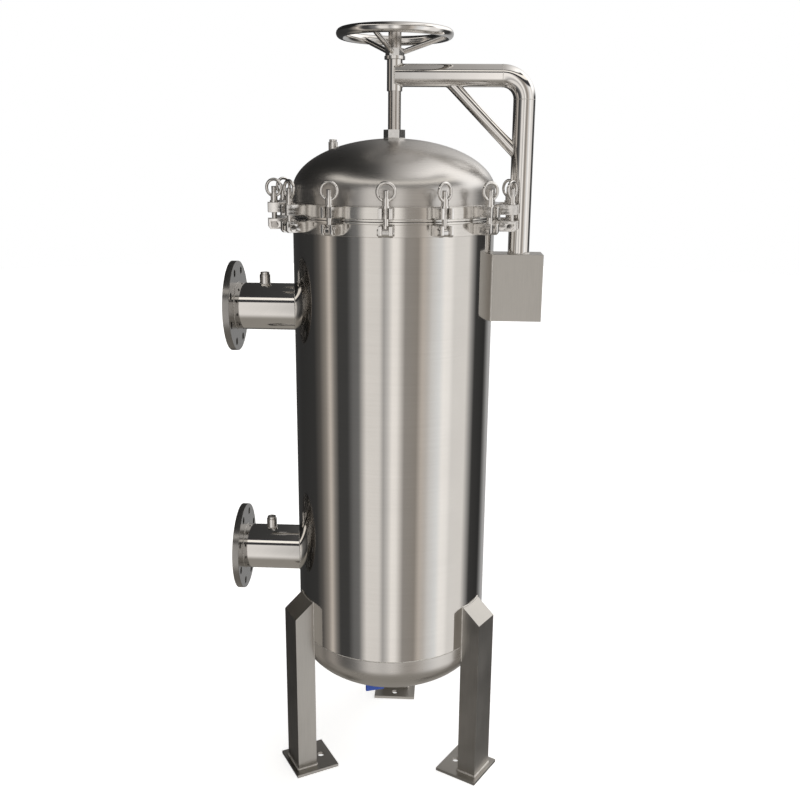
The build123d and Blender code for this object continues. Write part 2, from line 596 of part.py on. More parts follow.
def make_tube_plate():
    low = TUBE_PLATE_Z - TUBE_PLATE_THICKNESS
    plate = rod(SHELL_BORE - TUBE_PLATE_GAP, low, TUBE_PLATE_Z)
    for place in basket_places():
        plate -= place * rod(BASKET_RADIUS + BASKET_GAP, low - 1, TUBE_PLATE_Z + 1)
    return plate


def make_basket():
    """Round basket with a flat bottom, hung from the tube plate by its rim."""
    low = TUBE_PLATE_Z - BASKET_LENGTH
    rim_top = TUBE_PLATE_Z + BASKET_RIM_THICKNESS
    body = rod(BASKET_RADIUS, low, rim_top) + rod(BASKET_RIM_RADIUS, TUBE_PLATE_Z, rim_top)
    return body - rod(BASKET_RADIUS - BASKET_WALL, low + BASKET_WALL, rim_top + 1)


def make_bag():
    """Open felt sack that lines a basket, with its ring lying on the basket's rim."""
    seat = TUBE_PLATE_Z + BASKET_RIM_THICKNESS + BAG_GAP
    outer = BASKET_RADIUS - BASKET_WALL - BAG_GAP
    low = TUBE_PLATE_Z - BASKET_LENGTH + BASKET_WALL + BAG_GAP
    sack = rod(outer, low, seat + BAG_RIM_HEIGHT) + rod(outer + BAG_RIM_OVERLAP, seat, seat + BAG_RIM_HEIGHT)
    sack = fillet(sack.edges().group_by(Axis.Z)[0], BAG_BOTTOM_RADIUS)
    room = rod(outer - BAG_WALL, low + BAG_WALL, seat + BAG_RIM_HEIGHT + 1)
    room = fillet(room.edges().group_by(Axis.Z)[0], BAG_BOTTOM_RADIUS - BAG_WALL)
    return sack - room


def make_hold_down():
    """Ring over each bag's mouth, joined by a cross, that keeps the bags down."""
    low = TUBE_PLATE_Z + BASKET_RIM_THICKNESS + BAG_GAP + BAG_RIM_HEIGHT + HOLD_DOWN_GAP
    ring_r = HOLD_DOWN_RADIUS
    frame = None
    for place in basket_places():
        ring = place * tube(ring_r + HOLD_DOWN_BAR, ring_r - HOLD_DOWN_BAR, low, low + HOLD_DOWN_BAR)
        frame = ring if frame is None else frame + ring
    for turn in range(BAG_COUNT):
        arm = Pos(BASKET_CIRCLE_RADIUS / 2 - ring_r / 2, 0, low + HOLD_DOWN_BAR / 2)
        arm *= Box(BASKET_CIRCLE_RADIUS - ring_r + HOLD_DOWN_BAR, HOLD_DOWN_BAR * 2, HOLD_DOWN_BAR)
        frame += Rot(0, 0, 360 / BAG_COUNT * (turn + 0.5)) * arm
    frame += rod(HOLD_DOWN_BAR * 3, low, low + HOLD_DOWN_HEIGHT)
    return frame


# ================================================================ drain
def to_stem(shape):
    """Turns a shape made along +Z at the valve's centre to lie along the stem."""
    return Pos(0, 0, VALVE_Z) * at_azimuth(Rot(0, 90, 0) * shape, VALVE_AZIMUTH)


def make_drain_socket():
    top = HEAD_BOTTOM_Z + DRAIN_SOCKET_LENGTH
    socket = tube(DRAIN_PIPE_RADIUS, DRAIN_BORE_RADIUS, DRAIN_SOCKET_BOTTOM_Z, top)
    return socket - Pos(0, 0, HEAD_Z) * Rot(180, 0, 0) * crown_solid(WELD_GAP)


def make_valve():
    """Ball valve body with hexagon ends, a bonnet and a threaded outlet that ends in a relief."""
    low = VALVE_TOP_Z - VALVE_LENGTH
    thread_end = low + OUTLET_THREAD_LENGTH
    body = rod(VALVE_BODY_RADIUS, low + VALVE_END_LENGTH, VALVE_TOP_Z - VALVE_END_LENGTH)
    body += hexagon(VALVE_END_AF, low, VALVE_TOP_Z)
    body += to_stem(rod(BONNET_RADIUS, 0, BONNET_REACH))
    body -= rod(DRAIN_BORE_RADIUS, low - 1, VALVE_TOP_Z + 1)
    body -= rod(OUTLET_THREAD_RADIUS, low - 1, thread_end)
    body -= rod(OUTLET_RELIEF_RADIUS, thread_end, thread_end + OUTLET_RELIEF_LENGTH)
    body -= Pos(0, 0, VALVE_Z) * Sphere(VALVE_BALL_RADIUS + STEM_CLEARANCE)
    body -= to_stem(rod(STEM_RADIUS + STEM_CLEARANCE, 0, BONNET_REACH + 1))
    return body


def make_lever_parts():
    """Ball with its stem, the bent flat lever and the lever's dipped grip.

    The lever points along -X before it is turned to the stem's azimuth.
    """
    ball = Sphere(VALVE_BALL_RADIUS) - Rot(90, 0, 0) * Cylinder(DRAIN_BORE_RADIUS, VALVE_BALL_RADIUS * 3)
    stem = rod(STEM_RADIUS, VALVE_BALL_RADIUS - STEM_SINK, STEM_REACH) + ball
    hub = BONNET_REACH + LEVER_GAP
    far = hub + LEVER_OFFSET
    t = LEVER_THICKNESS
    bend = LEVER_LENGTH - GRIP_LENGTH
    points = [
        (-LEVER_WIDTH / 2, hub),
        (LEVER_WIDTH / 2, hub),
        (bend, far),
        (LEVER_LENGTH - t, far),
        (LEVER_LENGTH - t, far + t),
        (bend - 1, far + t),
        (LEVER_WIDTH / 2 - 1, hub + t),
        (-LEVER_WIDTH / 2, hub + t),
    ]
    lever = extrude(Plane.YZ * make_face(Polyline(*points, close=True)), LEVER_WIDTH / 2, both=True)
    lever -= rod(STEM_RADIUS + SLIP_FIT, hub - 1, hub + t + 1)
    grip = Box(GRIP_WIDTH, GRIP_LENGTH - t, GRIP_THICKNESS)
    grip = fillet(grip.edges().filter_by(Axis.Y), GRIP_CORNER)
    grip = Pos(0, bend + t + (GRIP_LENGTH - t) / 2, far + t / 2) * grip
    grip -= lever
    grip = grip.solids().sort_by(SortBy.VOLUME)[-1]
    return [to_stem(Rot(0, 0, 180) * shape) for shape in (stem, lever, grip)]


# ================================================================ write the parts
os.makedirs("parts", exist_ok=True)
azimuths = [k * 360 / BOLT_COUNT for k in range(BOLT_COUNT)]

save("shell", make_shell())
save("bottom_head", make_bottom_head())
save("body_flange", make_body_flange())
save("lid_gasket", make_gasket())
sockets, plugs = [], []
for name, height in (("inlet", INLET_Z), ("outlet", OUTLET_Z)):
    nozzle_pipe, nozzle_flange = make_nozzle(height)
    save(f"{name}_pipe", nozzle_pipe)
    save(f"{name}_flange", nozzle_flange)
    port_socket, port_plug = make_port(height)
    sockets.append(port_socket)
    plugs.append(port_plug)
save("gauge_sockets", *sockets)
save("gauge_plugs", *plugs)

save("body_lugs", *[c for a in azimuths for c in lug_pair(lower_lug_profile(), a)])
save("lid_lugs", *[c for a in azimuths for c in lug_pair(upper_lug_profile(), a)])
save("clamp_pins", *[make_pin(a) for a in azimuths])
for number, azimuth in enumerate(azimuths, 1):
    save(f"swing_bolt_{number:02d}", *make_swing_bolt(azimuth, RING_TURNS[number - 1]))

save("lid_dome", make_lid_dome())
save("lid_flange", make_lid_flange())
save("lid_boss", make_lid_boss())
vent_socket, vent_plug = make_vent()
save("vent_socket", vent_socket)
save("vent_plug", vent_plug)
save("lift_screw", rod(SCREW_RADIUS, DOME_TOP_Z + WELD_GAP, SCREW_TOP_Z))
save("wheel_hub", make_wheel_hub())
save("wheel_rim", make_wheel_rim())
spoke_azimuths = [SPOKE_AZIMUTH + k * 360 / SPOKE_COUNT for k in range(SPOKE_COUNT)]
save("wheel_spokes", *[make_spoke(a) for a in spoke_azimuths])

save("davit_bracket", make_davit_box())
for name, piece in zip(("column", "elbow", "arm", "sleeve"), make_davit()):
    save(f"davit_{name}", piece)
save("davit_brace", make_brace())
leg_azimuths = [(k + 0.5) * 360 / len(LEG_NAMES) for k in range(len(LEG_NAMES))]
for name, azimuth in zip(LEG_NAMES, leg_azimuths):
    save(f"leg_{name}", make_leg(azimuth))
save("foot_plates", *[make_foot(a) for a in leg_azimuths])

save("support_ledge", make_support_ledge())
save("tube_plate", make_tube_plate())
save("bag_baskets", *[place * make_basket() for place in basket_places()])
save("filter_bags", *[place * make_bag() for place in basket_places()])
save("bag_hold_down", make_hold_down())
save("drain_socket", make_drain_socket())
save("drain_valve_body", make_valve())
for name, piece in zip(("drain_ball", "drain_lever", "drain_grip"), make_lever_parts()):
    save(name, piece)
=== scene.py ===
"""Looks of a multi-bag filter housing: a satin stainless vessel on three box legs, with a spun
lid, fourteen swing bolts, two flanged nozzles and a handwheel davit.

Metres, +Z up, the front towards -Y. Azimuths are measured from the front towards +X.
"""
import json
import math

import bmesh
import bpy
from mathutils import Matrix, Vector

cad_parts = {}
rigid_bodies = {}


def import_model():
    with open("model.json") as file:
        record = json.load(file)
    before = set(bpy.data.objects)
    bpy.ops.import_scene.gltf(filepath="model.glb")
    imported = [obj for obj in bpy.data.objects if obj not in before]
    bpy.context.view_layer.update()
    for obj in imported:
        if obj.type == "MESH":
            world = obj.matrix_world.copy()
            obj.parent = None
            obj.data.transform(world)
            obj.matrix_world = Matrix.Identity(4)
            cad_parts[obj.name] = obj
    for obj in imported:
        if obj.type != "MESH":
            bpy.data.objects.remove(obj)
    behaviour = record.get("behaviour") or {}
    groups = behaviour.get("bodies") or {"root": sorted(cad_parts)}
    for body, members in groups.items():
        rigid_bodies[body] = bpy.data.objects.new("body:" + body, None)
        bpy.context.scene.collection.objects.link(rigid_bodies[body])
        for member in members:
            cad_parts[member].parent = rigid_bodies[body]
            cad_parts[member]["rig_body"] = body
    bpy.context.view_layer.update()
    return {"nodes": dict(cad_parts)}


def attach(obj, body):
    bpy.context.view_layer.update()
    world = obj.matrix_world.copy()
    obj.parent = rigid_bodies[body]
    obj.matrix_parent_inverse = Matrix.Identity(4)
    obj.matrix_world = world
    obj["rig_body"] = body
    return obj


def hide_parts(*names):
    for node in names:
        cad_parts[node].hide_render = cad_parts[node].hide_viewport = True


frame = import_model()


# ---- shell
# The shell is rolled from 4 mm stainless sheet and drawn over a belt, so its finish is satin
# with long faint lines round the vessel. Two holes take the nozzles.
SHELL_RADIUS = 0.240
SHELL_WALL = 0.004
HEAD_SEAM_HEIGHT = 0.367
SHELL_TOP = 1.415
NOZZLE_HEIGHTS = {"inlet": 1.197, "outlet": 0.559}
PIPE_RADIUS = 0.05715
PIPE_WALL = 0.003
ROUND = 192  # steps round the vessel
SHARP = 40  # degrees across an edge that stays sharp


def link(name, mesh):
    """A new object for a mesh, at the origin."""
    piece = bpy.data.objects.new(name, mesh)
    bpy.context.scene.collection.objects.link(piece)
    return piece


def around(steps):
    """Sine and cosine at even steps round a circle."""
    angles = [math.tau * k / steps for k in range(steps)]
    return [(math.sin(a), math.cos(a)) for a in angles]


def closed(line):
    """A line of points that ends where it starts."""
    return line + line[:1]


def finished(bm, name, sharp=SHARP):
    """Closes a bmesh into a smooth-shaded object whose edges over an angle stay sharp."""
    bmesh.ops.remove_doubles(bm, verts=bm.verts, dist=1e-6)
    bmesh.ops.recalc_face_normals(bm, faces=bm.faces)
    mesh = bpy.data.meshes.new(name)
    bm.to_mesh(mesh)
    bm.free()
    mesh.shade_smooth()
    mesh.set_sharp_from_angle(angle=math.radians(sharp))
    return link(name, mesh)


def turned(name, outline, steps=ROUND, sharp=SHARP):
    """Turns a closed outline of (radius, height) points about the vessel's axis."""
    bm = bmesh.new()
    rings = [[bm.verts.new((r * s, -r * c, z)) for r, z in outline] for s, c in around(steps)]
    on_axis = [r < 1e-9 for r, _ in outline]
    for here, there in zip(rings, rings[1:] + rings[:1]):
        for k in range(len(outline)):
            following = (k + 1) % len(outline)
            if on_axis[k] and on_axis[following]:
                continue
            corners = [here[k], there[k], there[following], here[following]]
            if on_axis[k]:
                corners.remove(there[k])
            if on_axis[following]:
                corners.remove(there[following])
            bm.faces.new(corners)
    return finished(bm, name, sharp)


def new_material(name, color, metallic, roughness):
    """A node material with its Principled shader's plain values set; returns its tree as well."""
    material = bpy.data.materials.new(name)
    material.use_nodes = True
    shader = material.node_tree.nodes["Principled BSDF"]
    shader.inputs["Base Color"].default_value = (*color, 1)
    shader.inputs["Metallic"].default_value = metallic
    shader.inputs["Roughness"].default_value = roughness
    return material, material.node_tree, shader


def node_group(name, tree_kind, inputs, outputs):
    """An empty node group with named inputs, each with its usual value, and named outputs."""
    group = bpy.data.node_groups.new(name, tree_kind)
    for label, kind, value in inputs:
        socket = group.interface.new_socket(label, in_out="INPUT", socket_type=f"NodeSocket{kind}")
        if value is not None:
            socket.default_value = value
    for label, kind in outputs:
        group.interface.new_socket(label, in_out="OUTPUT", socket_type=f"NodeSocket{kind}")
    return group, group.nodes.new("NodeGroupInput"), group.nodes.new("NodeGroupOutput")


def math_node(tree, operation, first, second=None):
    """A math node fed by sockets or plain numbers; returns its output."""
    node = tree.nodes.new("ShaderNodeMath")
    node.operation = operation
    for socket, value in zip(node.inputs, (first, second)):
        if value is None:
            continue
        if isinstance(value, (int, float)):
            socket.default_value = value
        else:
            tree.links.new(value, socket)
    return node.outputs[0]


def noise(tree, vector, scale, detail=3.0, roughness=0.55):
    """A noise's value at a place."""
    node = tree.nodes.new("ShaderNodeTexNoise")
    node.inputs["Scale"].default_value = scale
    node.inputs["Detail"].default_value = detail
    node.inputs["Roughness"].default_value = roughness
    tree.links.new(vector, node.inputs["Vector"])
    return node.outputs["Fac"]


def turning_lines_group():
    """Lines left round an axis by a belt or a tool: long round the axis, fine along it."""
    group, given, result = node_group(
        "turning_lines",
        "ShaderNodeTree",
        [("Vector", "Vector", None), ("Lines", "Float", 900.0), ("Streak", "Float", 2.0)],
        [("Lines", "Float"), ("Clouds", "Float")],
    )
    join = group.links.new

    def vector_math(operation, vector):
        node = group.nodes.new("ShaderNodeVectorMath")
        node.operation = operation
        join(vector, node.inputs[0])
        return node

    def split(vector):
        node = group.nodes.new("ShaderNodeSeparateXYZ")
        join(vector, node.inputs[0])
        return node.outputs

    def combined(*parts):
        node = group.nodes.new("ShaderNodeCombineXYZ")
        for socket, part in zip(node.inputs, parts):
            join(part, socket)
        return node.outputs[0]

    parts = split(given.outputs["Vector"])
    flat = combined(parts[0], parts[1])
    length = vector_math("LENGTH", flat)
    direction = vector_math("NORMALIZE", flat)
    streak = vector_math("SCALE", direction.outputs[0])
    join(given.outputs["Streak"], streak.inputs["Scale"])
    run = math_node(group, "SUBTRACT", length.outputs["Value"], parts[2])
    rows = math_node(group, "MULTIPLY", run, given.outputs["Lines"])
    along = split(streak.outputs[0])
    join(noise(group, combined(along[0], along[1], rows), 1.0, 4.0, 0.6), result.inputs["Lines"])
    join(noise(group, given.outputs["Vector"], 7.0, 3.0, 0.5), result.inputs["Clouds"])
    return group


TURNING_LINES = turning_lines_group()


def scaled(tree, value, low, high):
    """Spreads a value from 0.25 to 0.75 over a range."""
    node = tree.nodes.new("ShaderNodeMapRange")
    node.inputs["From Min"].default_value = 0.25
    node.inputs["From Max"].default_value = 0.75
    node.inputs["To Min"].default_value = low
    node.inputs["To Max"].default_value = high
    tree.links.new(value, node.inputs["Value"])
    return node.outputs["Result"]


def tinted(tree, value, dark, light):
    """A colour between two by a value."""
    node = tree.nodes.new("ShaderNodeMix")
    node.data_type = "RGBA"
    node.inputs["A"].default_value = (*dark, 1)
    node.inputs["B"].default_value = (*light, 1)
    tree.links.new(value, node.inputs["Factor"])
    return node.outputs["Result"]


def object_place(tree):
    """The shaded point in the object's own coordinates."""
    return tree.nodes.new("ShaderNodeTexCoord").outputs["Object"]


def mean(tree, first, second):
    """The mean of two values."""
    halves = [math_node(tree, "MULTIPLY", value, 0.5) for value in (first, second)]
    return math_node(tree, "ADD", *halves)


def graded(tree, shader, value, roughness, dark, light):
    """Lets a value from 0.25 to 0.75 set a shader's gloss and colour."""
    tree.links.new(scaled(tree, value, *roughness), shader.inputs["Roughness"])
    tree.links.new(tinted(tree, scaled(tree, value, 0, 1), dark, light), shader.inputs["Base Color"])


def raised(tree, shader, height, strength, distance=0.0004):
    """Bumps a shader's surface by a height."""
    bump = tree.nodes.new("ShaderNodeBump")
    bump.inputs["Strength"].default_value = strength
    bump.inputs["Distance"].default_value = distance
    tree.links.new(height, bump.inputs["Height"])
    tree.links.new(bump.outputs[0], shader.inputs["Normal"])


def turned_steel(name, dark, light, roughness, lines, streak, relief, smear=0.0, turn=(0, 0, 0)):
    """Stainless with lines round an axis. Smear stretches its gloss across the lines."""
    material, tree, shader = new_material(name, light, 1.0, roughness[0])
    mapping = tree.nodes.new("ShaderNodeMapping")
    mapping.vector_type = "TEXTURE"
    mapping.inputs["Rotation"].default_value = turn
    tree.links.new(object_place(tree), mapping.inputs["Vector"])
    marks = tree.nodes.new("ShaderNodeGroup")
    marks.node_tree = TURNING_LINES
    marks.inputs["Lines"].default_value = lines
    marks.inputs["Streak"].default_value = streak
    tree.links.new(mapping.outputs[0], marks.inputs["Vector"])
    graded(tree, shader, mean(tree, marks.outputs["Lines"], marks.outputs["Clouds"]), roughness, dark, light)
    raised(tree, shader, marks.outputs["Lines"], relief)
    if smear:
        shader.inputs["Anisotropic"].default_value = smear
        shader.inputs["Anisotropic Rotation"].default_value = 0.25
        tangent = tree.nodes.new("ShaderNodeTangent")
        tangent.direction_type = "RADIAL"
        tangent.axis = "Z"
        tree.links.new(tangent.outputs[0], shader.inputs["Tangent"])
    return material


def dress(piece, material, slot, body, *nodes):
    """Gives a piece its material, its body and the CAD nodes that it stands for."""
    piece.data.materials.clear()
    piece.data.materials.append(material)
    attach(piece, body)
    if nodes:
        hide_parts(*nodes)
    return piece


def modified(piece):
    """Turns a piece's modifiers into its plain mesh."""
    bpy.context.view_layer.update()
    graph = bpy.context.evaluated_depsgraph_get()
    mesh = bpy.data.meshes.new_from_object(piece.evaluated_get(graph), depsgraph=graph)
    piece.modifiers.clear()
    piece.data = mesh
    return piece


def cut(piece, tools):
    """Takes the tools' volume out of a piece and removes the tools."""
    for tool in tools:
        modifier = piece.modifiers.new("cut", "BOOLEAN")
        modifier.operation = "DIFFERENCE"
        modifier.solver = "EXACT"
        modifier.object = tool
    modified(piece)
    for tool in tools:
        bpy.data.objects.remove(tool)
    piece.data.set_sharp_from_angle(angle=math.radians(SHARP))
    return piece


def drum(radius, start, end):
    """A plain round bar between two points, to cut with or to close an end."""
    start, end = Vector(start), Vector(end)
    path = end - start
    bm = bmesh.new()
    bmesh.ops.create_cone(bm, cap_ends=True, segments=64, radius1=radius, radius2=radius, depth=path.length)
    bm.transform(Matrix.Translation((start + end) / 2) @ path.to_track_quat("Z", "Y").to_matrix().to_4x4())
    return finished(bm, "drum")


satin_steel = turned_steel(
    "satin_steel", (0.57, 0.55, 0.525), (0.65, 0.63, 0.60), (0.06, 0.10), 700.0, 1.5, 0.012, smear=0.85
)
rows = [HEAD_SEAM_HEIGHT + (SHELL_TOP - HEAD_SEAM_HEIGHT) * k / 24 for k in range(25)]
shell = turned(
    "shell_sheet",
    [(SHELL_RADIUS, z) for z in rows] + [(SHELL_RADIUS - SHELL_WALL, z) for z in reversed(rows)],
)
OUTSIDE, INSIDE = -0.3, -0.1  # where a nozzle's cutter starts and ends
cut(shell, [drum(PIPE_RADIUS - PIPE_WALL, (OUTSIDE, 0, z), (INSIDE, 0, z)) for z in NOZZLE_HEIGHTS.values()])
dress(shell, satin_steel, "satin_shell", "vessel", "shell")


# ---- dished heads
# The lid and the bottom are 2:1 heads spun from sheet, with the spinning's rings blended out to a
# duller satin than the shell's. The bottom one is butt welded to the shell.
HEAD_DEPTH = 0.120
HEAD_SKIRT = 0.025
HEAD_STEPS = 40
LID_CURVE_HEIGHT = 1.478
LID_SKIRT_BOTTOM = 1.426
DRAIN_BORE = 0.007


def dish(base, rim, up, hole):
    """Closed outline of a dished head's wall; up is 1 for the lid and -1 for the bottom."""
    outer, inner = [], []
    for k in range(HEAD_STEPS + 1):
        a = math.pi / 2 * k / HEAD_STEPS
        for side, inset in ((outer, 0), (inner, SHELL_WALL)):
            widest = SHELL_RADIUS - inset
            r = max(widest * math.cos(a), hole)
            side.append((r, base + up * (HEAD_DEPTH - inset) * math.sqrt(max(0, 1 - (r / widest) ** 2))))
    return [(SHELL_RADIUS, rim), *outer, *reversed(inner), (SHELL_RADIUS - SHELL_WALL, rim)]


head_steel = turned_steel(
    "head_steel", (0.54, 0.52, 0.50), (0.64, 0.62, 0.59), (0.25, 0.33), 500.0, 1.2, 0.03
)
lid = turned("lid_dome_spun", dish(LID_CURVE_HEIGHT, LID_SKIRT_BOTTOM, 1, 0.0))
dress(lid, head_steel, "satin_shell", "lid", "lid_dome")
bottom_curve = HEAD_SEAM_HEIGHT - HEAD_SKIRT
bottom = turned("bottom_head_spun", dish(bottom_curve, HEAD_SEAM_HEIGHT, -1, DRAIN_BORE))
dress(bottom, head_steel, "satin_shell", "vessel", "bottom_head")


# ---- closure bands
# Each flange is a band of flat bar rolled round the vessel with a turned lip, welded on and then
# polished. The gasket between the lips is black rubber cord of square section.
JOINT_HEIGHT = 1.420
BAND_HEIGHT = 0.032
BAND_INSIDE = 0.2402
BAND_OUTSIDE = 0.2502
LIP_OUTSIDE = 0.2537
LIP_INSIDE = 0.224
LIP = 0.005
GROOVE = (0.2277, 0.2363)
GROOVE_DEPTH = 0.004
GASKET_SHOW = 0.001
BEAD_PROUD = 0.002
BEAD_HEIGHT = 0.0012


def softened(outline, ease):
    """Rounds each corner of a closed outline with two short steps."""
    points = []
    for k, here in enumerate(outline):
        before, after = Vector(outline[k - 1]), Vector(outline[(k + 1) % len(outline)])
        here = Vector(here)
        back, on = before - here, after - here
        reach = min(ease, back.length * 0.4, on.length * 0.4)
        first, last = here + back.normalized() * reach, here + on.normalized() * reach
        middle = (first + last) / 2 * 0.45 + here * 0.55
        points += [tuple(first), tuple(middle), tuple(last)]
    return points


band_steel = turned_steel(
    "band_steel", (0.58, 0.56, 0.53), (0.70, 0.68, 0.65), (0.10, 0.2), 900.0, 4.0, 0.05, smear=0.5
)
low = JOINT_HEIGHT - BAND_HEIGHT
lip_low = JOINT_HEIGHT - LIP
body_band = [
    (BAND_INSIDE, low), (BAND_OUTSIDE, low), (BAND_OUTSIDE, lip_low), (LIP_OUTSIDE, lip_low),
    (LIP_OUTSIDE, JOINT_HEIGHT), (GROOVE[1], JOINT_HEIGHT), (GROOVE[1], JOINT_HEIGHT - GROOVE_DEPTH),
    (GROOVE[0], JOINT_HEIGHT - GROOVE_DEPTH), (GROOVE[0], JOINT_HEIGHT), (LIP_INSIDE, JOINT_HEIGHT),
    (LIP_INSIDE, lip_low), (BAND_INSIDE, lip_low),
]
body_ring = turned("body_band", softened(body_band, 0.0008), sharp=70)
dress(body_ring, band_steel, "polished_band", "vessel", "body_flange")
base = JOINT_HEIGHT + GASKET_SHOW
top = base + BAND_HEIGHT
lid_band = [
    (LIP_INSIDE, base), (LIP_OUTSIDE, base), (LIP_OUTSIDE, base + LIP), (BAND_OUTSIDE, base + LIP),
    (BAND_OUTSIDE, top - BEAD_HEIGHT), (BAND_OUTSIDE + BEAD_PROUD, top - BEAD_HEIGHT),
    (BAND_OUTSIDE + BEAD_PROUD, top), (BAND_INSIDE, top), (BAND_INSIDE, base + LIP), (LIP_INSIDE, base + LIP),
]
lid_ring = turned("lid_band", softened(lid_band, 0.0006), sharp=70)
dress(lid_ring, band_steel, "polished_band", "lid", "lid_flange")


def moulded(name, dark, light, roughness, grain):
    """Rubber or plastic whose colour and gloss vary a little; grain is (scale, detail)."""
    material, tree, shader = new_material(name, light, 0.0, roughness[0])
    patches = noise(tree, object_place(tree), *grain)
    tree.links.new(scaled(tree, patches, *roughness), shader.inputs["Roughness"])
    tree.links.new(tinted(tree, patches, dark, light), shader.inputs["Base Color"])
    return material, shader


def repaint(node, material):
    """Gives a CAD node a material of this file."""
    mesh = frame["nodes"][node].data
    mesh.materials.clear()
    mesh.materials.append(material)


gasket_rubber, _ = moulded("gasket_rubber", (0.012, 0.012, 0.012), (0.032, 0.032, 0.032), (0.5, 0.75), (900.0, 2.0))
repaint("lid_gasket", gasket_rubber)


# ---- nozzles
# Each nozzle is a length of polished pipe set into the shell, with a turned DN100 flange slipped
# over its end and welded, and a gauge socket with a plug on top.
PIPE_END = 0.397
ALONG_X = (0, math.pi / 2, 0)  # turns the lines' axis from Z to X


def skin(bm, first, second):
    """Faces between two closed rows of vertices."""
    for a, b, c, d in zip(first, closed(first)[1:], closed(second)[1:], second):
        bm.faces.new((a, b, c, d))


def coped_pipe(name, z):
    """Pipe along -X whose inner end follows the shell."""
    bm = bmesh.new()
    bore = PIPE_RADIUS - PIPE_WALL
    rings = []
    for radius, at_shell in ((PIPE_RADIUS, True), (PIPE_RADIUS, False), (bore, False), (bore, True)):
        ring = []
        for s, c in around(96):
            y, height = radius * s, radius * c
            x = -math.sqrt(SHELL_RADIUS**2 - y * y) if at_shell else -PIPE_END
            ring.append(bm.verts.new((x, y, z + height)))
        rings.append(ring)
    for first, second in zip(rings, closed(rings)[1:]):
        skin(bm, first, second)
    return finished(bm, name)


polished_pipe = turned_steel(
    "polished_pipe", (0.64, 0.62, 0.595), (0.72, 0.70, 0.675), (0.05, 0.09), 500.0, 6.0, 0.01, turn=ALONG_X
)
# The flanges' colour is darkened far below the other steels: painted shade, standing in for the dark reflections on
# their faces.
flange_steel = turned_steel(
    "flange_steel", (0.26, 0.25, 0.24), (0.36, 0.35, 0.335), (0.22, 0.30), 1100.0, 3.0, 0.02, turn=ALONG_X
)


def edges_broken(piece, width, segments=2, sharp=32):
    """Rounds a piece's edges over an angle a little, and shades it smooth between its sharp edges."""
    bevel = piece.modifiers.new("ease", "BEVEL")
    bevel.width = width
    bevel.segments = segments
    bevel.limit_method = "ANGLE"
    bevel.angle_limit = math.radians(sharp)
    modified(piece)
    piece.data.shade_smooth()
    piece.data.set_sharp_from_angle(angle=math.radians(50))
    return piece


def eased(node, width, material, slot, segments=2):
    """Copy of a CAD node with its edges broken, which then stands for the node."""
    source = frame["nodes"][node]
    bm = bmesh.new()
    bm.from_mesh(source.data)
    bmesh.ops.remove_doubles(bm, verts=bm.verts, dist=2e-6)
    bmesh.ops.dissolve_limit(bm, angle_limit=math.radians(0.6), verts=bm.verts, edges=bm.edges)
    mesh = bpy.data.meshes.new(f"{node}_dressed")
    bm.to_mesh(mesh)
    bm.free()
    piece = edges_broken(link(f"{node}_dressed", mesh), width, segments)
    flats = piece.modifiers.new("flats", "WEIGHTED_NORMAL")
    flats.keep_sharp = True
    modified(piece)
    return dress(piece, material, slot, source["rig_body"], node)


for name, z in NOZZLE_HEIGHTS.items():
    dress(coped_pipe(f"{name}_pipe_polished", z), polished_pipe, "polished_tube", "vessel", f"{name}_pipe")
    eased(f"{name}_flange", 0.0008, flange_steel, "machined_flange")


# ---- welds
# The sheet, the bands and the nozzles are joined by TIG welds: low beads of overlapping scales,
# laid by hand in stainless wire and left bright after pickling.
BEAD_RADIUS = 0.0014
FLANGE_BACK = 0.3822  # from the vessel's axis


def geometry_tree(name, **sizes):
    """An empty geometry node group that takes a mesh, its sizes and a material, and gives a mesh."""
    inputs = [("Geometry", "Geometry", None)]
    for label, value in sizes.items():
        inputs.append((label.replace("_", " ").title(), "Int" if isinstance(value, int) else "Float", value))
    inputs.append(("Material", "Material", None))
    return node_group(name, "GeometryNodeTree", inputs, [("Geometry", "Geometry")])


def points_along(tree, given):
    """Points a pitch apart along the edges that a tree is given."""
    to_curve = tree.nodes.new("GeometryNodeMeshToCurve")
    tree.links.new(given.outputs["Geometry"], to_curve.inputs["Mesh"])
    spaced = tree.nodes.new("GeometryNodeResampleCurve")
    spaced.mode = "LENGTH"
    tree.links.new(to_curve.outputs["Curve"], spaced.inputs["Curve"])
    tree.links.new(given.outputs["Pitch"], spaced.inputs["Length"])
    return spaced.outputs["Curve"]


def painted(tree, given, result, instances, smooth):
    """Makes a tree's instances real and paints them, and gives them out."""
    real = tree.nodes.new("GeometryNodeRealizeInstances")
    tree.links.new(instances, real.inputs["Geometry"])
    steps = [real]
    if smooth:
        steps.append(tree.nodes.new("GeometryNodeSetShadeSmooth"))
    steps.append(tree.nodes.new("GeometryNodeSetMaterial"))
    tree.links.new(given.outputs["Material"], steps[-1].inputs["Material"])
    for here, there in zip(steps, steps[1:] + [result]):
        tree.links.new(here.outputs["Geometry"], there.inputs["Geometry"])


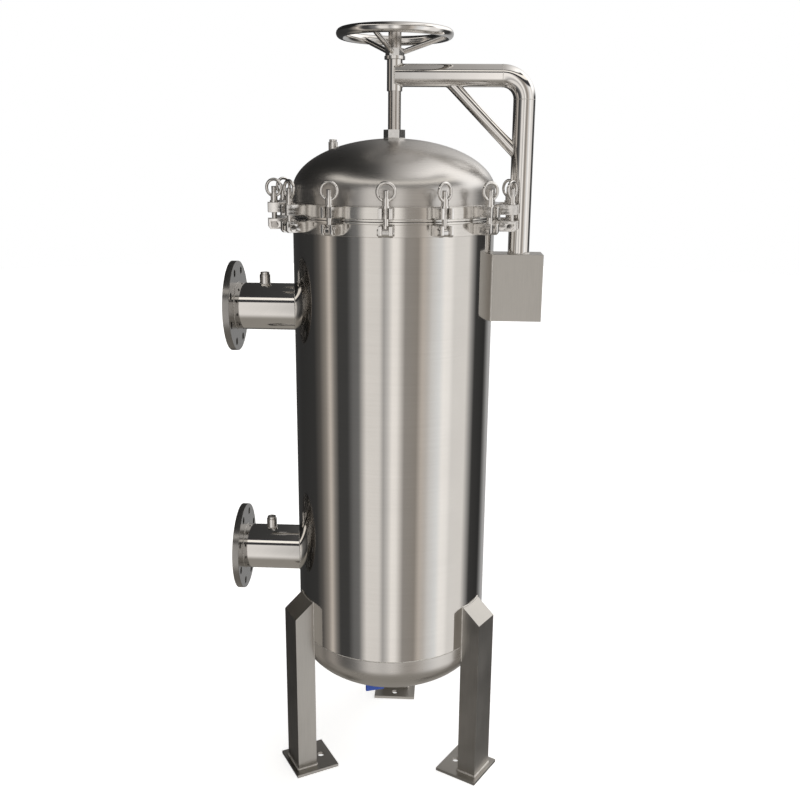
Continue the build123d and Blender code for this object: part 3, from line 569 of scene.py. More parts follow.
def weld_bead_tree():
    """Lays a bead along lines: one flattened scale for each pitch, each a little uneven."""
    tree, given, result = geometry_tree("weld_bead", bead_radius=0.002, pitch=0.002, seed=1)
    new, join = tree.nodes.new, tree.links.new
    tangent = new("GeometryNodeInputTangent")
    facing = new("FunctionNodeAlignRotationToVector")
    facing.axis = "Z"
    join(tangent.outputs[0], facing.inputs["Vector"])
    scale = new("GeometryNodeMeshUVSphere")
    scale.inputs["Segments"].default_value = 8
    scale.inputs["Rings"].default_value = 5
    join(given.outputs["Bead Radius"], scale.inputs["Radius"])
    uneven = new("FunctionNodeRandomValue")
    uneven.data_type = "FLOAT_VECTOR"
    uneven.inputs["Min"].default_value = (0.94, 0.94, 0.75)
    uneven.inputs["Max"].default_value = (1.05, 1.05, 0.95)
    join(given.outputs["Seed"], uneven.inputs["Seed"])
    scales = new("GeometryNodeInstanceOnPoints")
    join(points_along(tree, given), scales.inputs["Points"])
    join(scale.outputs["Mesh"], scales.inputs["Instance"])
    join(facing.outputs["Rotation"], scales.inputs["Rotation"])
    join(uneven.outputs["Value"], scales.inputs["Scale"])
    painted(tree, given, result, scales.outputs["Instances"], smooth=True)
    return tree


WELD_BEAD = weld_bead_tree()


def grown(piece, tree, **values):
    """Runs a geometry tree on a piece and keeps the plain mesh."""
    modifier = piece.modifiers.new("grow", "NODES")
    modifier.node_group = tree
    sockets = {item.name: item.identifier for item in tree.interface.items_tree if item.in_out == "INPUT"}
    for label, value in values.items():
        modifier[sockets[label.replace("_", " ").title()]] = value
    return modified(piece)


weld_steel, tree, shader = new_material("weld_steel", (0.72, 0.70, 0.67), 1.0, 0.25)
clouds = noise(tree, object_place(tree), 60.0, 3.0)
graded(tree, shader, clouds, (0.26, 0.42), (0.58, 0.56, 0.52), (0.80, 0.78, 0.75))


def wires(name, paths):
    """An object of bare edges along paths of points. A path that ends where it starts is closed."""
    bm = bmesh.new()
    for path in paths:
        is_loop = (Vector(path[0]) - Vector(path[-1])).length < 1e-6
        verts = [bm.verts.new(p) for p in (path[:-1] if is_loop else path)]
        for first, second in zip(verts, verts[1:]):
            bm.edges.new((first, second))
        if is_loop:
            bm.edges.new((verts[-1], verts[0]))
    mesh = bpy.data.meshes.new(name)
    bm.to_mesh(mesh)
    bm.free()
    return link(name, mesh)


def weld(name, paths, radius, body, pitch=None):
    """Weld beads along paths of points."""
    piece = wires(name, paths)
    grown(piece, WELD_BEAD, bead_radius=radius, pitch=pitch or radius * 0.6, seed=3, material=weld_steel)
    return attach(piece, body)


def hoop(radius, z, centre=(0, 0), steps=128):
    """Closed level circle of points."""
    return closed([(centre[0] + radius * s, centre[1] - radius * c, z) for s, c in around(steps)])


def upright_ring(x, z, radius):
    """Closed circle of points round the X direction."""
    return closed([(x, radius * s, z + radius * c) for s, c in around(96)])


def saddle(z, radius):
    """Closed line where a pipe along -X meets the shell."""
    return [(-math.sqrt(SHELL_RADIUS**2 - y * y), y, height) for _, y, height in upright_ring(0, z, radius)]


def placed(azimuth, x, y, z):
    """A point given outwards and across at an azimuth."""
    a = math.radians(azimuth)
    return (x * math.sin(a) + y * math.cos(a), y * math.sin(a) - x * math.cos(a), z)


weld("head_seam_weld", [hoop(SHELL_RADIUS - 0.0004, HEAD_SEAM_HEIGHT)], BEAD_RADIUS, "vessel")
for name, z in NOZZLE_HEIGHTS.items():
    ends = [saddle(z, PIPE_RADIUS + 0.0006), upright_ring(-FLANGE_BACK, z, PIPE_RADIUS + 0.0002)]
    weld(f"{name}_weld", ends, BEAD_RADIUS, "vessel")


# ---- gauge sockets and vent
# Small threaded sockets, investment cast and tumbled, are welded to the nozzles and to the lid.
# Each is shut with a plug.
PORT_REACH = 0.315
SOCKET_RADIUS = 0.013
VENT_RADIUS = 0.011
VENT_PLACE = (-0.14797, 0.0301)


def linear_steel(name, dark, light, roughness, stretch, relief=0.05, clouds=30.0):
    """Stainless brushed one way, or cast, by how its grain is stretched."""
    material, tree, shader = new_material(name, light, 1.0, roughness[0])
    place = object_place(tree)
    mapping = tree.nodes.new("ShaderNodeMapping")
    mapping.inputs["Scale"].default_value = stretch
    tree.links.new(place, mapping.inputs["Vector"])
    grain = noise(tree, mapping.outputs[0], 1.0, 4.0, 0.6)
    patches = noise(tree, place, clouds, 3.0)
    graded(tree, shader, mean(tree, grain, patches), roughness, dark, light)
    raised(tree, shader, grain, relief)
    return material


cast_steel = linear_steel(
    "cast_steel", (0.64, 0.62, 0.60), (0.80, 0.785, 0.76), (0.14, 0.26), (1300, 1300, 1300), 0.06, 150.0
)
for node in ("gauge_sockets", "gauge_plugs", "vent_socket", "vent_plug"):
    eased(node, 0.0009, cast_steel, "cast_stainless")


def port_foot(z):
    """Closed line where a gauge socket meets its pipe."""
    level = [(SOCKET_RADIUS * s, SOCKET_RADIUS * c) for s, c in around(48)]
    return closed([(-PORT_REACH + x, y, z + math.sqrt(PIPE_RADIUS**2 - y * y)) for y, x in level])


def on_dome(x, y):
    """The point of the lid's outer face over a place."""
    return (x, y, LID_CURVE_HEIGHT + HEAD_DEPTH * math.sqrt(1 - (x * x + y * y) / SHELL_RADIUS**2))


weld("gauge_socket_welds", [port_foot(z) for z in NOZZLE_HEIGHTS.values()], 0.0013, "vessel")
vent_foot = [on_dome(VENT_PLACE[0] + x, VENT_PLACE[1] + y) for x, y, _ in hoop(VENT_RADIUS, 0, steps=48)]
weld("vent_weld", [vent_foot], 0.0012, "lid")


# ---- swing bolts and lugs
# The lugs are cheeks cut from plate and welded to the bands in pairs. A swing bolt hangs from a
# clevis pin between each lower pair, and its eye nut bears on the upper pair.
BOLTS = 14
BOLT_AZIMUTHS = [360 / BOLTS * k for k in range(BOLTS)]
BOLT_REACH = 0.283
PIN_HEIGHT = 1.401
PIN_HOLE = 0.00505
CHEEKS = ((-0.01525, -0.00725), (0.00725, 0.01525))  # each cheek's two faces, across the bolt
LUG_ROOT = 0.2504
LUG_TIP = 0.298
LOWER_LUG = (1.391, 1.415)
UPPER_LUG = (1.429, 1.4517)
LUG_CHAMFER = 0.005
LUG_SEAMS = {"body": ("vessel", 1.393, 1.413), "lid": ("lid", 1.431, 1.449)}
THREAD_RADIUS = 0.0062
THREAD_ROOT = 0.0056
THREAD_PITCH = 0.00175
THREADED = ((0.0375, 0.0505), (0.0738, 0.0855))  # above the pin: thread under the nut and over it


def cheeks(name, outline, has_hole):
    """Pairs of plate cheeks at every bolt, cut to an outline of (radius, height)."""
    hole = [(BOLT_REACH + PIN_HOLE * c, PIN_HEIGHT + PIN_HOLE * s) for s, c in around(24)]
    bm = bmesh.new()

    def faces_of(line, azimuth, cheek):
        return [[bm.verts.new(placed(azimuth, r, y, z)) for r, z in line] for y in cheek]

    for azimuth in BOLT_AZIMUTHS:
        for cheek in CHEEKS:
            sides = faces_of(outline, azimuth, cheek)
            if has_hole:
                rims = faces_of(hole, azimuth, cheek)
                for loops in zip(sides, rims):
                    edges = [bm.edges.new(pair) for loop in loops for pair in zip(loop, closed(loop)[1:])]
                    bmesh.ops.triangle_fill(bm, use_beauty=True, edges=edges)
                skin(bm, *rims)
            else:
                for side in sides:
                    bm.faces.new(side)
            skin(bm, *sides)
    return edges_broken(finished(bm, name), 0.0007, sharp=35)


low, high = LOWER_LUG
lower_outline = [
    (LUG_ROOT, low), (LUG_TIP - LUG_CHAMFER, low), (LUG_TIP, low + LUG_CHAMFER), (LUG_TIP, high), (LUG_ROOT, high),
]
low, high = UPPER_LUG
upper_outline = [(LUG_ROOT, low), (LUG_TIP, low), (LUG_TIP, high), (LUG_ROOT, high)]
dress(cheeks("body_lug_cheeks", lower_outline, True), cast_steel, "cast_stainless", "vessel", "body_lugs")
dress(cheeks("lid_lug_cheeks", upper_outline, False), cast_steel, "cast_stainless", "lid", "lid_lugs")
bolt_steel = linear_steel(
    "bolt_steel", (0.62, 0.60, 0.575), (0.80, 0.78, 0.755), (0.07, 0.15), (1100, 1100, 1100), 0.03, 120.0
)
eased("clamp_pins", 0.0005, bolt_steel, "cast_stainless")


def thread_tree():
    """Turns a line into a screw thread: one short cone for each pitch."""
    tree, given, result = geometry_tree("bolt_thread", crest=0.006, root=0.005, pitch=0.002)
    new, join = tree.nodes.new, tree.links.new
    cone = new("GeometryNodeMeshCone")
    cone.inputs["Vertices"].default_value = 20
    join(given.outputs["Root"], cone.inputs["Radius Top"])
    join(given.outputs["Crest"], cone.inputs["Radius Bottom"])
    join(given.outputs["Pitch"], cone.inputs["Depth"])
    turns = new("GeometryNodeInstanceOnPoints")
    join(points_along(tree, given), turns.inputs["Points"])
    join(cone.outputs["Mesh"], turns.inputs["Instance"])
    painted(tree, given, result, turns.outputs["Instances"], smooth=False)
    return tree


BOLT_THREAD = thread_tree()


def upright_line(azimuth, x, y, low, high):
    """Line up from one height to another at a place by azimuth."""
    return [placed(azimuth, x, y, low), placed(azimuth, x, y, high)]


for number, azimuth in enumerate(BOLT_AZIMUTHS, 1):
    eased(f"swing_bolt_{number:02d}", 0.0005, bolt_steel, "cast_stainless")
    lengths = [upright_line(azimuth, BOLT_REACH, 0, PIN_HEIGHT + low, PIN_HEIGHT + high) for low, high in THREADED]
    thread = wires(f"bolt_thread_{number:02d}", lengths)
    grown(thread, BOLT_THREAD, crest=THREAD_RADIUS, root=THREAD_ROOT, pitch=THREAD_PITCH, material=bolt_steel)
    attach(thread, f"clamp_{number:02d}")
for part, (body, low, high) in LUG_SEAMS.items():
    seams = []
    for azimuth in BOLT_AZIMUTHS:
        for y in (face for cheek in CHEEKS for face in cheek):
            seams.append(upright_line(azimuth, math.sqrt(BAND_OUTSIDE**2 - y * y) + 0.0003, y, low, high))
    weld(f"{part}_lug_welds", seams, 0.0012, body, 0.0016)


# ---- davit
# Column, elbow and arm are polished 51 mm tube butt welded end to end, with a brace across the
# corner. The column stands in a folded sheet box on the shell.
COLUMN_X = 0.300
TUBE_RADIUS = 0.0255
TUBE_WALL = 0.003
ARM_HEIGHT = 1.738
BEND_RADIUS = 0.052
BEND_STEPS = 32
BOX_BOTTOM = 1.176
BOX_TOP = 1.335
BOX_WALL = 0.004
BOX_HALF = 0.040
SLEEVE_RADIUS = 0.018
SLEEVE_CUT = ((0, 0, 1.65), (0, 0, 1.85))  # past the arm's tube both ways
BRACE_RADIUS = 0.0135
BRACE_SPAN = 0.161  # column axis to where the brace meets the arm's underside


def pipe_run(name, centres):
    """Open-ended tube along a line of points in the XZ plane."""
    bm = bmesh.new()
    rings = []
    side = Vector((0, 1, 0))
    for k, centre in enumerate(centres):
        before, after = Vector(centres[max(k - 1, 0)]), Vector(centres[min(k + 1, len(centres) - 1)])
        up = (after - before).normalized().cross(side)
        spokes = [side * c + up * s for s, c in around(64)]
        radii = (TUBE_RADIUS, TUBE_RADIUS - TUBE_WALL)
        rings.append([[bm.verts.new(Vector(centre) + spoke * r) for spoke in spokes] for r in radii])
    for here, there in zip(rings, rings[1:]):
        skin(bm, here[0], there[0])
        skin(bm, there[1], here[1])
    skin(bm, rings[0][1], rings[0][0])
    skin(bm, *rings[-1])
    return finished(bm, name)


tube_steel = linear_steel(
    "tube_steel", (0.66, 0.64, 0.615), (0.74, 0.72, 0.695), (0.04, 0.08), (40, 40, 40), 0.01, 12.0
)
bend_x, bend_z = COLUMN_X - BEND_RADIUS, ARM_HEIGHT - BEND_RADIUS
bend = []
for k in range(BEND_STEPS + 1):
    a = math.pi / 2 * k / BEND_STEPS
    bend.append((bend_x + BEND_RADIUS * math.cos(a), 0, bend_z + BEND_RADIUS * math.sin(a)))
column = pipe_run("davit_column_tube", [(COLUMN_X, 0, BOX_BOTTOM + BOX_WALL), (COLUMN_X, 0, bend_z)])
dress(column, tube_steel, "polished_tube", "vessel", "davit_column")
dress(pipe_run("davit_elbow_tube", bend), tube_steel, "polished_tube", "vessel", "davit_elbow")
arm = pipe_run("davit_arm_tube", [(0.0, 0, ARM_HEIGHT), (bend_x, 0, ARM_HEIGHT)])
cut(arm, [drum(SLEEVE_RADIUS, *SLEEVE_CUT)])
dress(arm, tube_steel, "polished_tube", "vessel", "davit_arm")
arm_end = drum(TUBE_RADIUS - 0.0004, (0.0002, 0, ARM_HEIGHT), (TUBE_WALL, 0, ARM_HEIGHT))
arm_end.name = "davit_arm_end"
cut(arm_end, [drum(SLEEVE_RADIUS, *SLEEVE_CUT)])
dress(arm_end, tube_steel, "polished_tube", "vessel")
eased("davit_sleeve", 0.0005, tube_steel, "polished_tube")
eased("davit_brace", 0.0003, tube_steel, "polished_tube")


def sleeve_foot():
    """Closed line where the arm's end wraps the sleeve."""
    upper, side = [], []
    for k in range(25):
        a = math.pi * (k / 24 - 0.5)
        y = SLEEVE_RADIUS * math.sin(a)
        upper.append((SLEEVE_RADIUS * math.cos(a), y, math.sqrt(TUBE_RADIUS**2 - y * y)))
    for k in range(1, 24):
        height = upper[-1][2] * (1 - k / 12)
        side.append((0.0005, math.sqrt(TUBE_RADIUS**2 - height**2) - 0.0005, height))
    back = [(x, -y, -z) for x, y, z in upper + side]
    return [(x, y, z + ARM_HEIGHT) for x, y, z in upper + side + back + upper[:1]]


def brace_foot(on_arm):
    """Closed line where the brace meets the arm or the column."""
    line = []
    total = COLUMN_X - BRACE_SPAN + ARM_HEIGHT - TUBE_RADIUS  # x + z along the brace, at 45 degrees
    for s, c in around(48):
        y = BRACE_RADIUS * s
        reach = math.sqrt(TUBE_RADIUS**2 - y * y)
        shared = total + math.sqrt(2) * BRACE_RADIUS * c
        if on_arm:
            line.append((shared - (ARM_HEIGHT - reach), y, ARM_HEIGHT - reach))
        else:
            line.append((COLUMN_X - reach, y, shared - (COLUMN_X - reach)))
    return closed(line)


def on_shell(y, z):
    """The point of the shell's right side at a place."""
    return (math.sqrt(SHELL_RADIUS**2 - y * y) + 0.0004, y, z)


across_box = [BOX_HALF * (k / 10 - 1) for k in range(21)]
box_foot = [on_shell(y, BOX_TOP) for y in across_box] + [on_shell(y, BOX_BOTTOM) for y in reversed(across_box)]
weld("davit_sleeve_weld", [sleeve_foot()], 0.0017, "vessel")
weld("davit_brace_welds", [brace_foot(True), brace_foot(False)], 0.0013, "vessel")
flush = TUBE_RADIUS - 0.0002
elbow_ends = [hoop(flush, bend_z, (COLUMN_X, 0)), upright_ring(bend_x, ARM_HEIGHT, flush)]
weld("davit_elbow_welds", elbow_ends, 0.0007, "vessel")
column_foot = hoop(TUBE_RADIUS + 0.0004, BOX_TOP, (COLUMN_X, 0))
weld("davit_bracket_welds", [closed(box_foot), column_foot], 0.0016, "vessel")
leg_steel = linear_steel(
    "leg_steel", (0.36, 0.345, 0.32), (0.50, 0.48, 0.45), (0.26, 0.4), (900, 900, 12), 0.08, 9.0
)
eased("davit_bracket", 0.0012, leg_steel, "leg_steel", 3)


# ---- lift screw and handwheel
# The screw is fixed in a hexagon boss on the lid. The handwheel's nut turns on the sleeve at the
# arm's end; its rim is a bent bar on three straight spokes.
WHEEL_RADIUS = 0.1235
WHEEL_BAR = 0.011
WHEEL_HEIGHT = 1.827
SPOKES = 3
SPOKE_AZIMUTH = 100.0  # of the first spoke
SPOKE_FOOT_HEIGHT = 1.782
SPOKE_BAR = 0.006
BOSS_REACH = 0.0235
bar = [(WHEEL_RADIUS + WHEEL_BAR * c, WHEEL_HEIGHT + WHEEL_BAR * s) for s, c in around(32)]
dress(turned("wheel_rim_bar", bar, 160), tube_steel, "polished_tube", "handwheel", "wheel_rim")
eased("wheel_spokes", 0.0002, tube_steel, "polished_tube")
eased("wheel_hub", 0.0012, cast_steel, "cast_stainless")
foot, tip = Vector((0, 0, SPOKE_FOOT_HEIGHT)), Vector((WHEEL_RADIUS, 0, WHEEL_HEIGHT))
along, side = (tip - foot).normalized(), Vector((0, 1, 0))
centre = tip - along * (WHEEL_BAR - 0.0008)
rim_end = [centre + (side * c + along.cross(side) * s) * SPOKE_BAR for s, c in around(32)]
spoke_ends = []
for k in range(SPOKES):
    spoke_ends.append(closed([placed(SPOKE_AZIMUTH + 360 / SPOKES * k, *point) for point in rim_end]))
weld("spoke_welds", spoke_ends, 0.0011, "handwheel")
screw_steel = turned_steel("screw_steel", (0.44, 0.41, 0.38), (0.60, 0.57, 0.54), (0.14, 0.26), 600.0, 3.0, 0.08)
eased("lift_screw", 0.0012, screw_steel, "screw_steel")
eased("lid_boss", 0.0022, cast_steel, "cast_stainless", 3)
boss_foot = [on_dome(x, y) for x, y, _ in hoop(BOSS_REACH, 0, steps=72)]
weld("lid_boss_weld", [boss_foot], 0.002, "lid")


# ---- legs
# Box tube coped to the shell and closed on the slant with a plate, each welded to a foot plate
# with an anchor hole. They have a coarse brushed finish.
LEG_AZIMUTHS = (60, 180, 300)
LEG_INSIDE = 0.235
LEG_OUTSIDE = 0.285
LEG_HALF = 0.038
LEG_TOP = 0.478  # inner edge of the slanted top
LEG_SLOPE = 0.82
LEG_MEETS_HEAD = 0.327
FOOT_THICKNESS = 0.008
for node in ("leg_left", "leg_right", "leg_rear"):
    eased(node, 0.002, leg_steel, "leg_steel", 3)
eased("foot_plates", 0.0008, leg_steel, "leg_steel")


def leg_cope(azimuth):
    """Line up one side of a leg, over its slanted top and down the other side."""
    line = []
    for k in range(41):
        y = LEG_HALF * (k / 20 - 1)
        x = math.sqrt(SHELL_RADIUS**2 - y * y) + 0.0003
        line.append(placed(azimuth, x, y, LEG_TOP - LEG_SLOPE * (x - LEG_INSIDE)))
    x = math.sqrt(SHELL_RADIUS**2 - LEG_HALF**2) + 0.0003
    low = [placed(azimuth, x, side * LEG_HALF, LEG_MEETS_HEAD) for side in (-1, 1)]
    return [low[0]] + line + [low[1]]


def leg_foot(azimuth):
    """Closed line round a leg where it stands on its foot plate."""
    out, back = (LEG_OUTSIDE, LEG_INSIDE)
    corners = [(out, -LEG_HALF), (out, LEG_HALF), (back, LEG_HALF), (back, -LEG_HALF)]
    return closed([placed(azimuth, x, y, FOOT_THICKNESS + 0.0012) for x, y in corners])


weld("leg_welds", [leg_cope(a) for a in LEG_AZIMUTHS], 0.0018, "vessel")
weld("foot_welds", [leg_foot(a) for a in LEG_AZIMUTHS], 0.0036, "vessel", 0.003)


# ---- filter elements
# Inside, a tube plate carries four perforated baskets lined with needle felt bags, and a light
# frame holds the bags' rings down.
BASKETS = 4
BASKET_REACH = 0.136
BASKET_RADIUS = 0.080
HOLE_PITCH = 0.0075
HOLE_SHARE = 0.30  # radius of a hole over the pitch
# The holes' near-black colour is painted shade; through real holes the felt behind them would show.
SHEET, HOLE_SHADE = (0.55, 0.55, 0.55), (0.03, 0.03, 0.03)
BAG_RADIUS = 0.0772
BAG_WALL = 0.0025
BAG_BOTTOM = 0.3326
BAG_CORNER = 0.040
BAG_SEAT = 1.1146
BAG_TOP = 1.1240
BAG_RING = 0.0060
BAG_STEPS = 96  # round a bag
BAG_ROWS = 36  # up its wall
FOLD_DEPTH = 0.0022
FOLD_FADE = 0.15  # below the ring, over which the folds grow
SEAM_DEPTH = 0.0012
SEAM_WIDTH = 0.05  # radians
inner_steel = linear_steel(
    "inner_steel", (0.48, 0.48, 0.48), (0.60, 0.60, 0.60), (0.25, 0.4), (300, 300, 300), 0.06, 20.0
)
for node in ("support_ledge", "tube_plate", "bag_hold_down"):
    repaint(node, inner_steel)


def perforated_steel():
    """Basket sheet punched with rows of round holes, the holes painted near black: painted shade where the felt
    behind them would show.
    """
    material, tree, shader = new_material("perforated_steel", SHEET, 1.0, 0.32)
    parts = tree.nodes.new("ShaderNodeSeparateXYZ")
    tree.links.new(object_place(tree), parts.inputs[0])
    offset = BASKET_REACH * math.sqrt(0.5)
    across = [math_node(tree, "SUBTRACT", math_node(tree, "ABSOLUTE", parts.outputs[k]), offset) for k in (0, 1)]
    angle = math_node(tree, "ARCTAN2", across[1], across[0])
    holes_round = round(math.tau * BASKET_RADIUS / HOLE_PITCH)
    squares = []
    for value, scale in ((angle, holes_round / math.tau), (parts.outputs[2], 1 / HOLE_PITCH)):
        cell = math_node(tree, "FRACT", math_node(tree, "MULTIPLY", value, scale))
        squares.append(math_node(tree, "POWER", math_node(tree, "SUBTRACT", cell, 0.5), 2.0))
    hole = math_node(tree, "LESS_THAN", math_node(tree, "ADD", *squares), HOLE_SHARE**2)
    tree.links.new(tinted(tree, hole, SHEET, HOLE_SHADE), shader.inputs["Base Color"])
    bright = math_node(tree, "SUBTRACT", 1.0, hole)
    tree.links.new(bright, shader.inputs["Metallic"])
    return material


repaint("bag_baskets", perforated_steel())


def bag_outline():
    """Closed outline of a bag and its ring, as (radius, height), from its bottom's middle."""
    wall_foot = BAG_BOTTOM + BAG_CORNER
    flat = BAG_RADIUS - BAG_CORNER
    outer = [(0.0, BAG_BOTTOM)]
    for k in range(9):
        a = math.pi / 2 * k / 8
        outer.append((flat + BAG_CORNER * math.sin(a), wall_foot - BAG_CORNER * math.cos(a)))
    for k in range(1, BAG_ROWS + 1):
        outer.append((BAG_RADIUS, wall_foot + (BAG_SEAT - BAG_BOTTOM - BAG_CORNER) * k / BAG_ROWS))
    inner = [(max(r - BAG_WALL, 0.0), z + BAG_WALL * (1 if r < 0.01 else 0.5)) for r, z in reversed(outer)]
    edge = BAG_RADIUS + BAG_RING
    ring = [(edge, BAG_SEAT), (edge, BAG_TOP - 0.002), (edge - 0.002, BAG_TOP), (BAG_RADIUS - BAG_WALL, BAG_TOP)]
    return outer + ring + inner


def hung(number, a, r, z):
    """Radius of a bag's cloth at an angle, with its folds and the seam up its side."""
    hang = min(1.0, max(0.0, (BAG_SEAT - z) / FOLD_FADE)) * min(1.0, r / BAG_RADIUS)
    sway = math.sin(7 * a + 2.1 * number + 2.0 * math.sin(5 * z + number))
    fold = 0.5 + 0.5 * sway * math.cos(3 * a + 9 * z)
    seam = math.exp(-(((a - math.pi) / SEAM_WIDTH) ** 2))
    return r - hang * FOLD_DEPTH * fold - SEAM_DEPTH * seam * hang


def sewn_bags():
    """Four felt sacks that hang in their baskets in shallow folds, sewn up one side to a ring."""
    bm = bmesh.new()
    outline = bag_outline()
    for number in range(BASKETS):
        turn = math.pi / 4 + math.tau * number / BASKETS
        middle = Vector((BASKET_REACH * math.cos(turn), BASKET_REACH * math.sin(turn), 0))
        poles = {k: bm.verts.new(middle + Vector((0, 0, z))) for k, (r, z) in enumerate(outline) if r < 1e-6}
        rings = []
        for step in range(BAG_STEPS):
            a = math.tau * step / BAG_STEPS
            ring = []
            for k, (r, z) in enumerate(outline):
                reach = hung(number, a, r, z)
                offset = Vector((reach * math.cos(a), reach * math.sin(a), z))
                ring.append(poles.get(k) or bm.verts.new(middle + offset))
            rings.append(ring)
        for here, there in zip(rings, closed(rings)[1:]):
            for k in range(len(outline)):
                following = (k + 1) % len(outline)
                if k in poles and following in poles:
                    continue
                corners = [here[k], there[k], there[following], here[following]]
                bm.faces.new(list(dict.fromkeys(corners)))
    return finished(bm, "filter_bags_sewn", 50)


felt, tree, shader = new_material("bag_felt", (0.85, 0.84, 0.80), 0.0, 0.9)
shader.inputs["Sheen Weight"].default_value = 0.25
place = object_place(tree)
fuzz = mean(tree, noise(tree, place, 700.0, 4.0), noise(tree, place, 60.0, 4.0))
shade = scaled(tree, fuzz, 0, 1)
tree.links.new(tinted(tree, shade, (0.66, 0.65, 0.60), (0.93, 0.92, 0.89)), shader.inputs["Base Color"])
raised(tree, shader, fuzz, 0.5, 0.0008)
dress(sewn_bags(), felt, "bag_felt", "vessel", "filter_bags")


# ---- drain valve
# A small cast ball valve screws onto a socket under the bottom head. Its lever is bent steel strip
# with a blue vinyl grip, dipped on.
valve_steel = linear_steel(
    "valve_steel", (0.44, 0.43, 0.41), (0.60, 0.59, 0.57), (0.25, 0.42), (800, 800, 800), 0.15, 50.0
)
for node in ("drain_socket", "drain_valve_body"):
    eased(node, 0.0008, valve_steel, "valve_steel")
eased("drain_lever", 0.0005, inner_steel, "inner_steel")
repaint("drain_ball", tube_steel)
grip_blue, shader = moulded("grip_blue", (0.008, 0.04, 0.28), (0.015, 0.09, 0.5), (0.28, 0.45), (120.0, 3.0))
shader.inputs["Coat Weight"].default_value = 0.3
eased("drain_grip", 0.001, grip_blue, "grip_blue")


# ---- studio
# A pale floor in a plain white room. Soft strip boxes stand round the housing and a bank of them
# hangs over it, which its steel mirrors, and one camera stands at head height.
FLOOR_COLOR = (0.34, 0.32, 0.29)
GAP_COLOR = (0.05, 0.05, 0.055)  # between the walls' boxes and the ceiling's
SLOT_COLOR = (1.35, 1.3, 1.22)  # of a long box high on the walls
WHITE = (1, 1, 1, 1)
# Each stop is an azimuth from the front in degrees, a level of light and its warmth.
WALL_BOXES = [
    (-180, 0.05, 0), (-130, 0.04, 0), (-100, 0.05, 0), (-90, 0.12, 1), (-80, 0.34, 1.5), (-74, 0.72, 1.5),
    (-68, 0.28, 1), (-62, 0.07, 0), (-50, 0.07, 0), (-43, 0.19, 0), (-36, 0.22, 0), (-31, 0.65, 0.5),
    (-27, 1.0, 0.5), (-12, 0.97, 0.5), (-7, 0.52, 0.3), (-2, 0.78, 0.3), (3, 1.2, 0.5), (8, 1.15, 0.5),
    (17, 0.38, 1), (31, 0.34, 1.5), (37, 0.64, 1.5), (43, 0.68, 0.8), (48, 0.86, 0.2), (58, 1.05, -0.3),
    (64, 1.25, 0.3), (71, 1.2, 0.3), (77, 0.98, 0.3), (97, 0.98, 0.4), (105, 0.44, 0.2), (113, 0.06, 0),
    (136, 0.04, 0), (153, 0.46, 0),
]
# The ceiling's stops run from left, -180, to right, 180.
CEILING_BOXES = [
    (-180, 0.02, 0), (-80, 0.02, 0), (-62, 0.025, 0), (-46, 0.035, 0), (-30, 0.06, 0), (-12, 0.26, 0.5),
    (0, 0.46, 0.5), (20, 0.62, 0.5), (40, 0.85, 0.3), (60, 1.15, 0.3), (78, 1.5, 0.3), (108, 1.6, 0.3),
    (180, 1.6, 0),
]


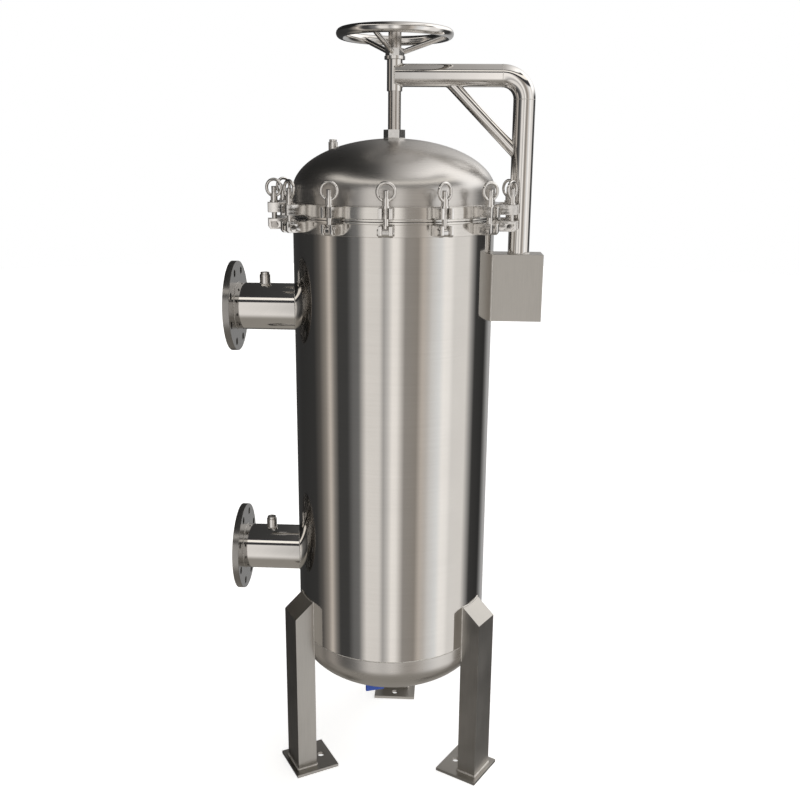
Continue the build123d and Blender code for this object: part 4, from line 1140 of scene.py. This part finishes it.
def studio_world():
    """Soft light boxes all round, by azimuth, with an even white backdrop behind the housing."""
    world = bpy.data.worlds.new("studio")
    bpy.context.scene.world = world
    world.use_nodes = True
    tree = world.node_tree
    tree.nodes.clear()
    new, join = tree.nodes.new, tree.links.new
    place = new("ShaderNodeTexCoord")
    parts = new("ShaderNodeSeparateXYZ")
    join(place.outputs["Generated"], parts.inputs[0])
    toward_front = math_node(tree, "MULTIPLY", parts.outputs["Y"], -1.0)
    azimuth = math_node(tree, "ARCTAN2", parts.outputs["X"], toward_front)
    around_room = math_node(tree, "ADD", math_node(tree, "DIVIDE", azimuth, math.tau), 0.5)
    across_room = math_node(tree, "ADD", math_node(tree, "MULTIPLY", parts.outputs["X"], 0.5), 0.5)

    def ramp(position, stops):
        """Colour along a row of boxes; the position runs from 0 to 1."""
        node = new("ShaderNodeValToRGB")
        node.color_ramp.interpolation = "LINEAR"
        elements = node.color_ramp.elements
        for k, (degrees, level, warmth) in enumerate(stops):
            element = elements[k] if k < 2 else elements.new(degrees / 360 + 0.5)
            element.position = degrees / 360 + 0.5
            element.color = (level * (1 + 0.06 * warmth), level, level * (1 - 0.06 * warmth), 1)
        join(position, node.inputs["Fac"])
        return node.outputs["Color"]

    def step(value, low, high):
        """Rises from 0 to 1 between two values."""
        node = new("ShaderNodeMapRange")
        node.interpolation_type = "SMOOTHSTEP"
        node.inputs["From Min"].default_value = low
        node.inputs["From Max"].default_value = high
        join(value, node.inputs["Value"])
        return node.outputs["Result"]

    def blended(share_of_second, first, second):
        """One colour over another."""
        node = new("ShaderNodeMix")
        node.data_type = "RGBA"
        join(share_of_second, node.inputs["Factor"])
        for socket, value in ((node.inputs["A"], first), (node.inputs["B"], second)):
            if isinstance(value, tuple):
                socket.default_value = (*value, 1)
            else:
                join(value, socket)
        return node.outputs["Result"]

    up = parts.outputs["Z"]
    room = blended(step(up, -0.85, -0.5), FLOOR_COLOR, ramp(around_room, WALL_BOXES))
    room = blended(step(up, 0.40, 0.46), room, GAP_COLOR)
    slot_end = math_node(tree, "SUBTRACT", 1.0, step(up, 0.74, 0.77))
    room = blended(math_node(tree, "MULTIPLY", step(up, 0.60, 0.63), slot_end), room, SLOT_COLOR)
    behind = math_node(tree, "MULTIPLY", step(parts.outputs["Y"], -0.05, 0.15), step(up, 0.1, 0.35))
    overhead = math_node(tree, "MAXIMUM", behind, step(up, 0.8, 0.86))
    room = blended(overhead, room, ramp(across_room, CEILING_BOXES))
    light = new("ShaderNodeBackground")
    join(room, light.inputs["Color"])
    backdrop = new("ShaderNodeBackground")
    backdrop.inputs["Color"].default_value = WHITE
    ray = new("ShaderNodeLightPath")
    pick = new("ShaderNodeMixShader")
    join(ray.outputs["Is Camera Ray"], pick.inputs["Fac"])
    join(light.outputs[0], pick.inputs[1])
    join(backdrop.outputs[0], pick.inputs[2])
    out = new("ShaderNodeOutputWorld")
    join(pick.outputs[0], out.inputs["Surface"])


studio_world()
FLOOR_RADIUS = 12.0
FLOOR_GLOW = 0.72  # as white as the backdrop
bm = bmesh.new()
bmesh.ops.create_circle(bm, cap_ends=True, segments=96, radius=FLOOR_RADIUS)
floor = finished(bm, "floor")
floor_paint, tree, shader = new_material("floor_paint", (0.85, 0.85, 0.84), 0.0, 0.8)
shader.inputs["Emission Color"].default_value = WHITE
shader.inputs["Emission Strength"].default_value = FLOOR_GLOW
floor.data.materials.append(floor_paint)
floor.visible_glossy = False
floor.visible_shadow = False

CAMERA_PLACE = (0.1331, -2.2533, 1.5535)
CAMERA_YAW = -2.907  # degrees, to the right of +Y
CAMERA_PITCH = 14.63  # degrees, down
CAMERA_ROLL = 0.491
CAMERA_LENS = 41.71
CAMERA_FILM = 36.0
camera_data = bpy.data.cameras.new("camera")
camera_data.lens = CAMERA_LENS
camera_data.sensor_width = CAMERA_FILM
camera_data.clip_end = FLOOR_RADIUS * 5
camera = bpy.data.objects.new("camera", camera_data)
bpy.context.scene.collection.objects.link(camera)
yaw, pitch, roll = (math.radians(angle) for angle in (CAMERA_YAW, CAMERA_PITCH, CAMERA_ROLL))
heading = Matrix.Rotation(-yaw, 4, "Z") @ Matrix.Rotation(math.pi / 2 - pitch, 4, "X")
camera.matrix_world = Matrix.Translation(CAMERA_PLACE) @ heading @ Matrix.Rotation(roll, 4, "Z")
bpy.context.scene.camera = camera
bpy.context.scene.view_settings.view_transform = "Standard"
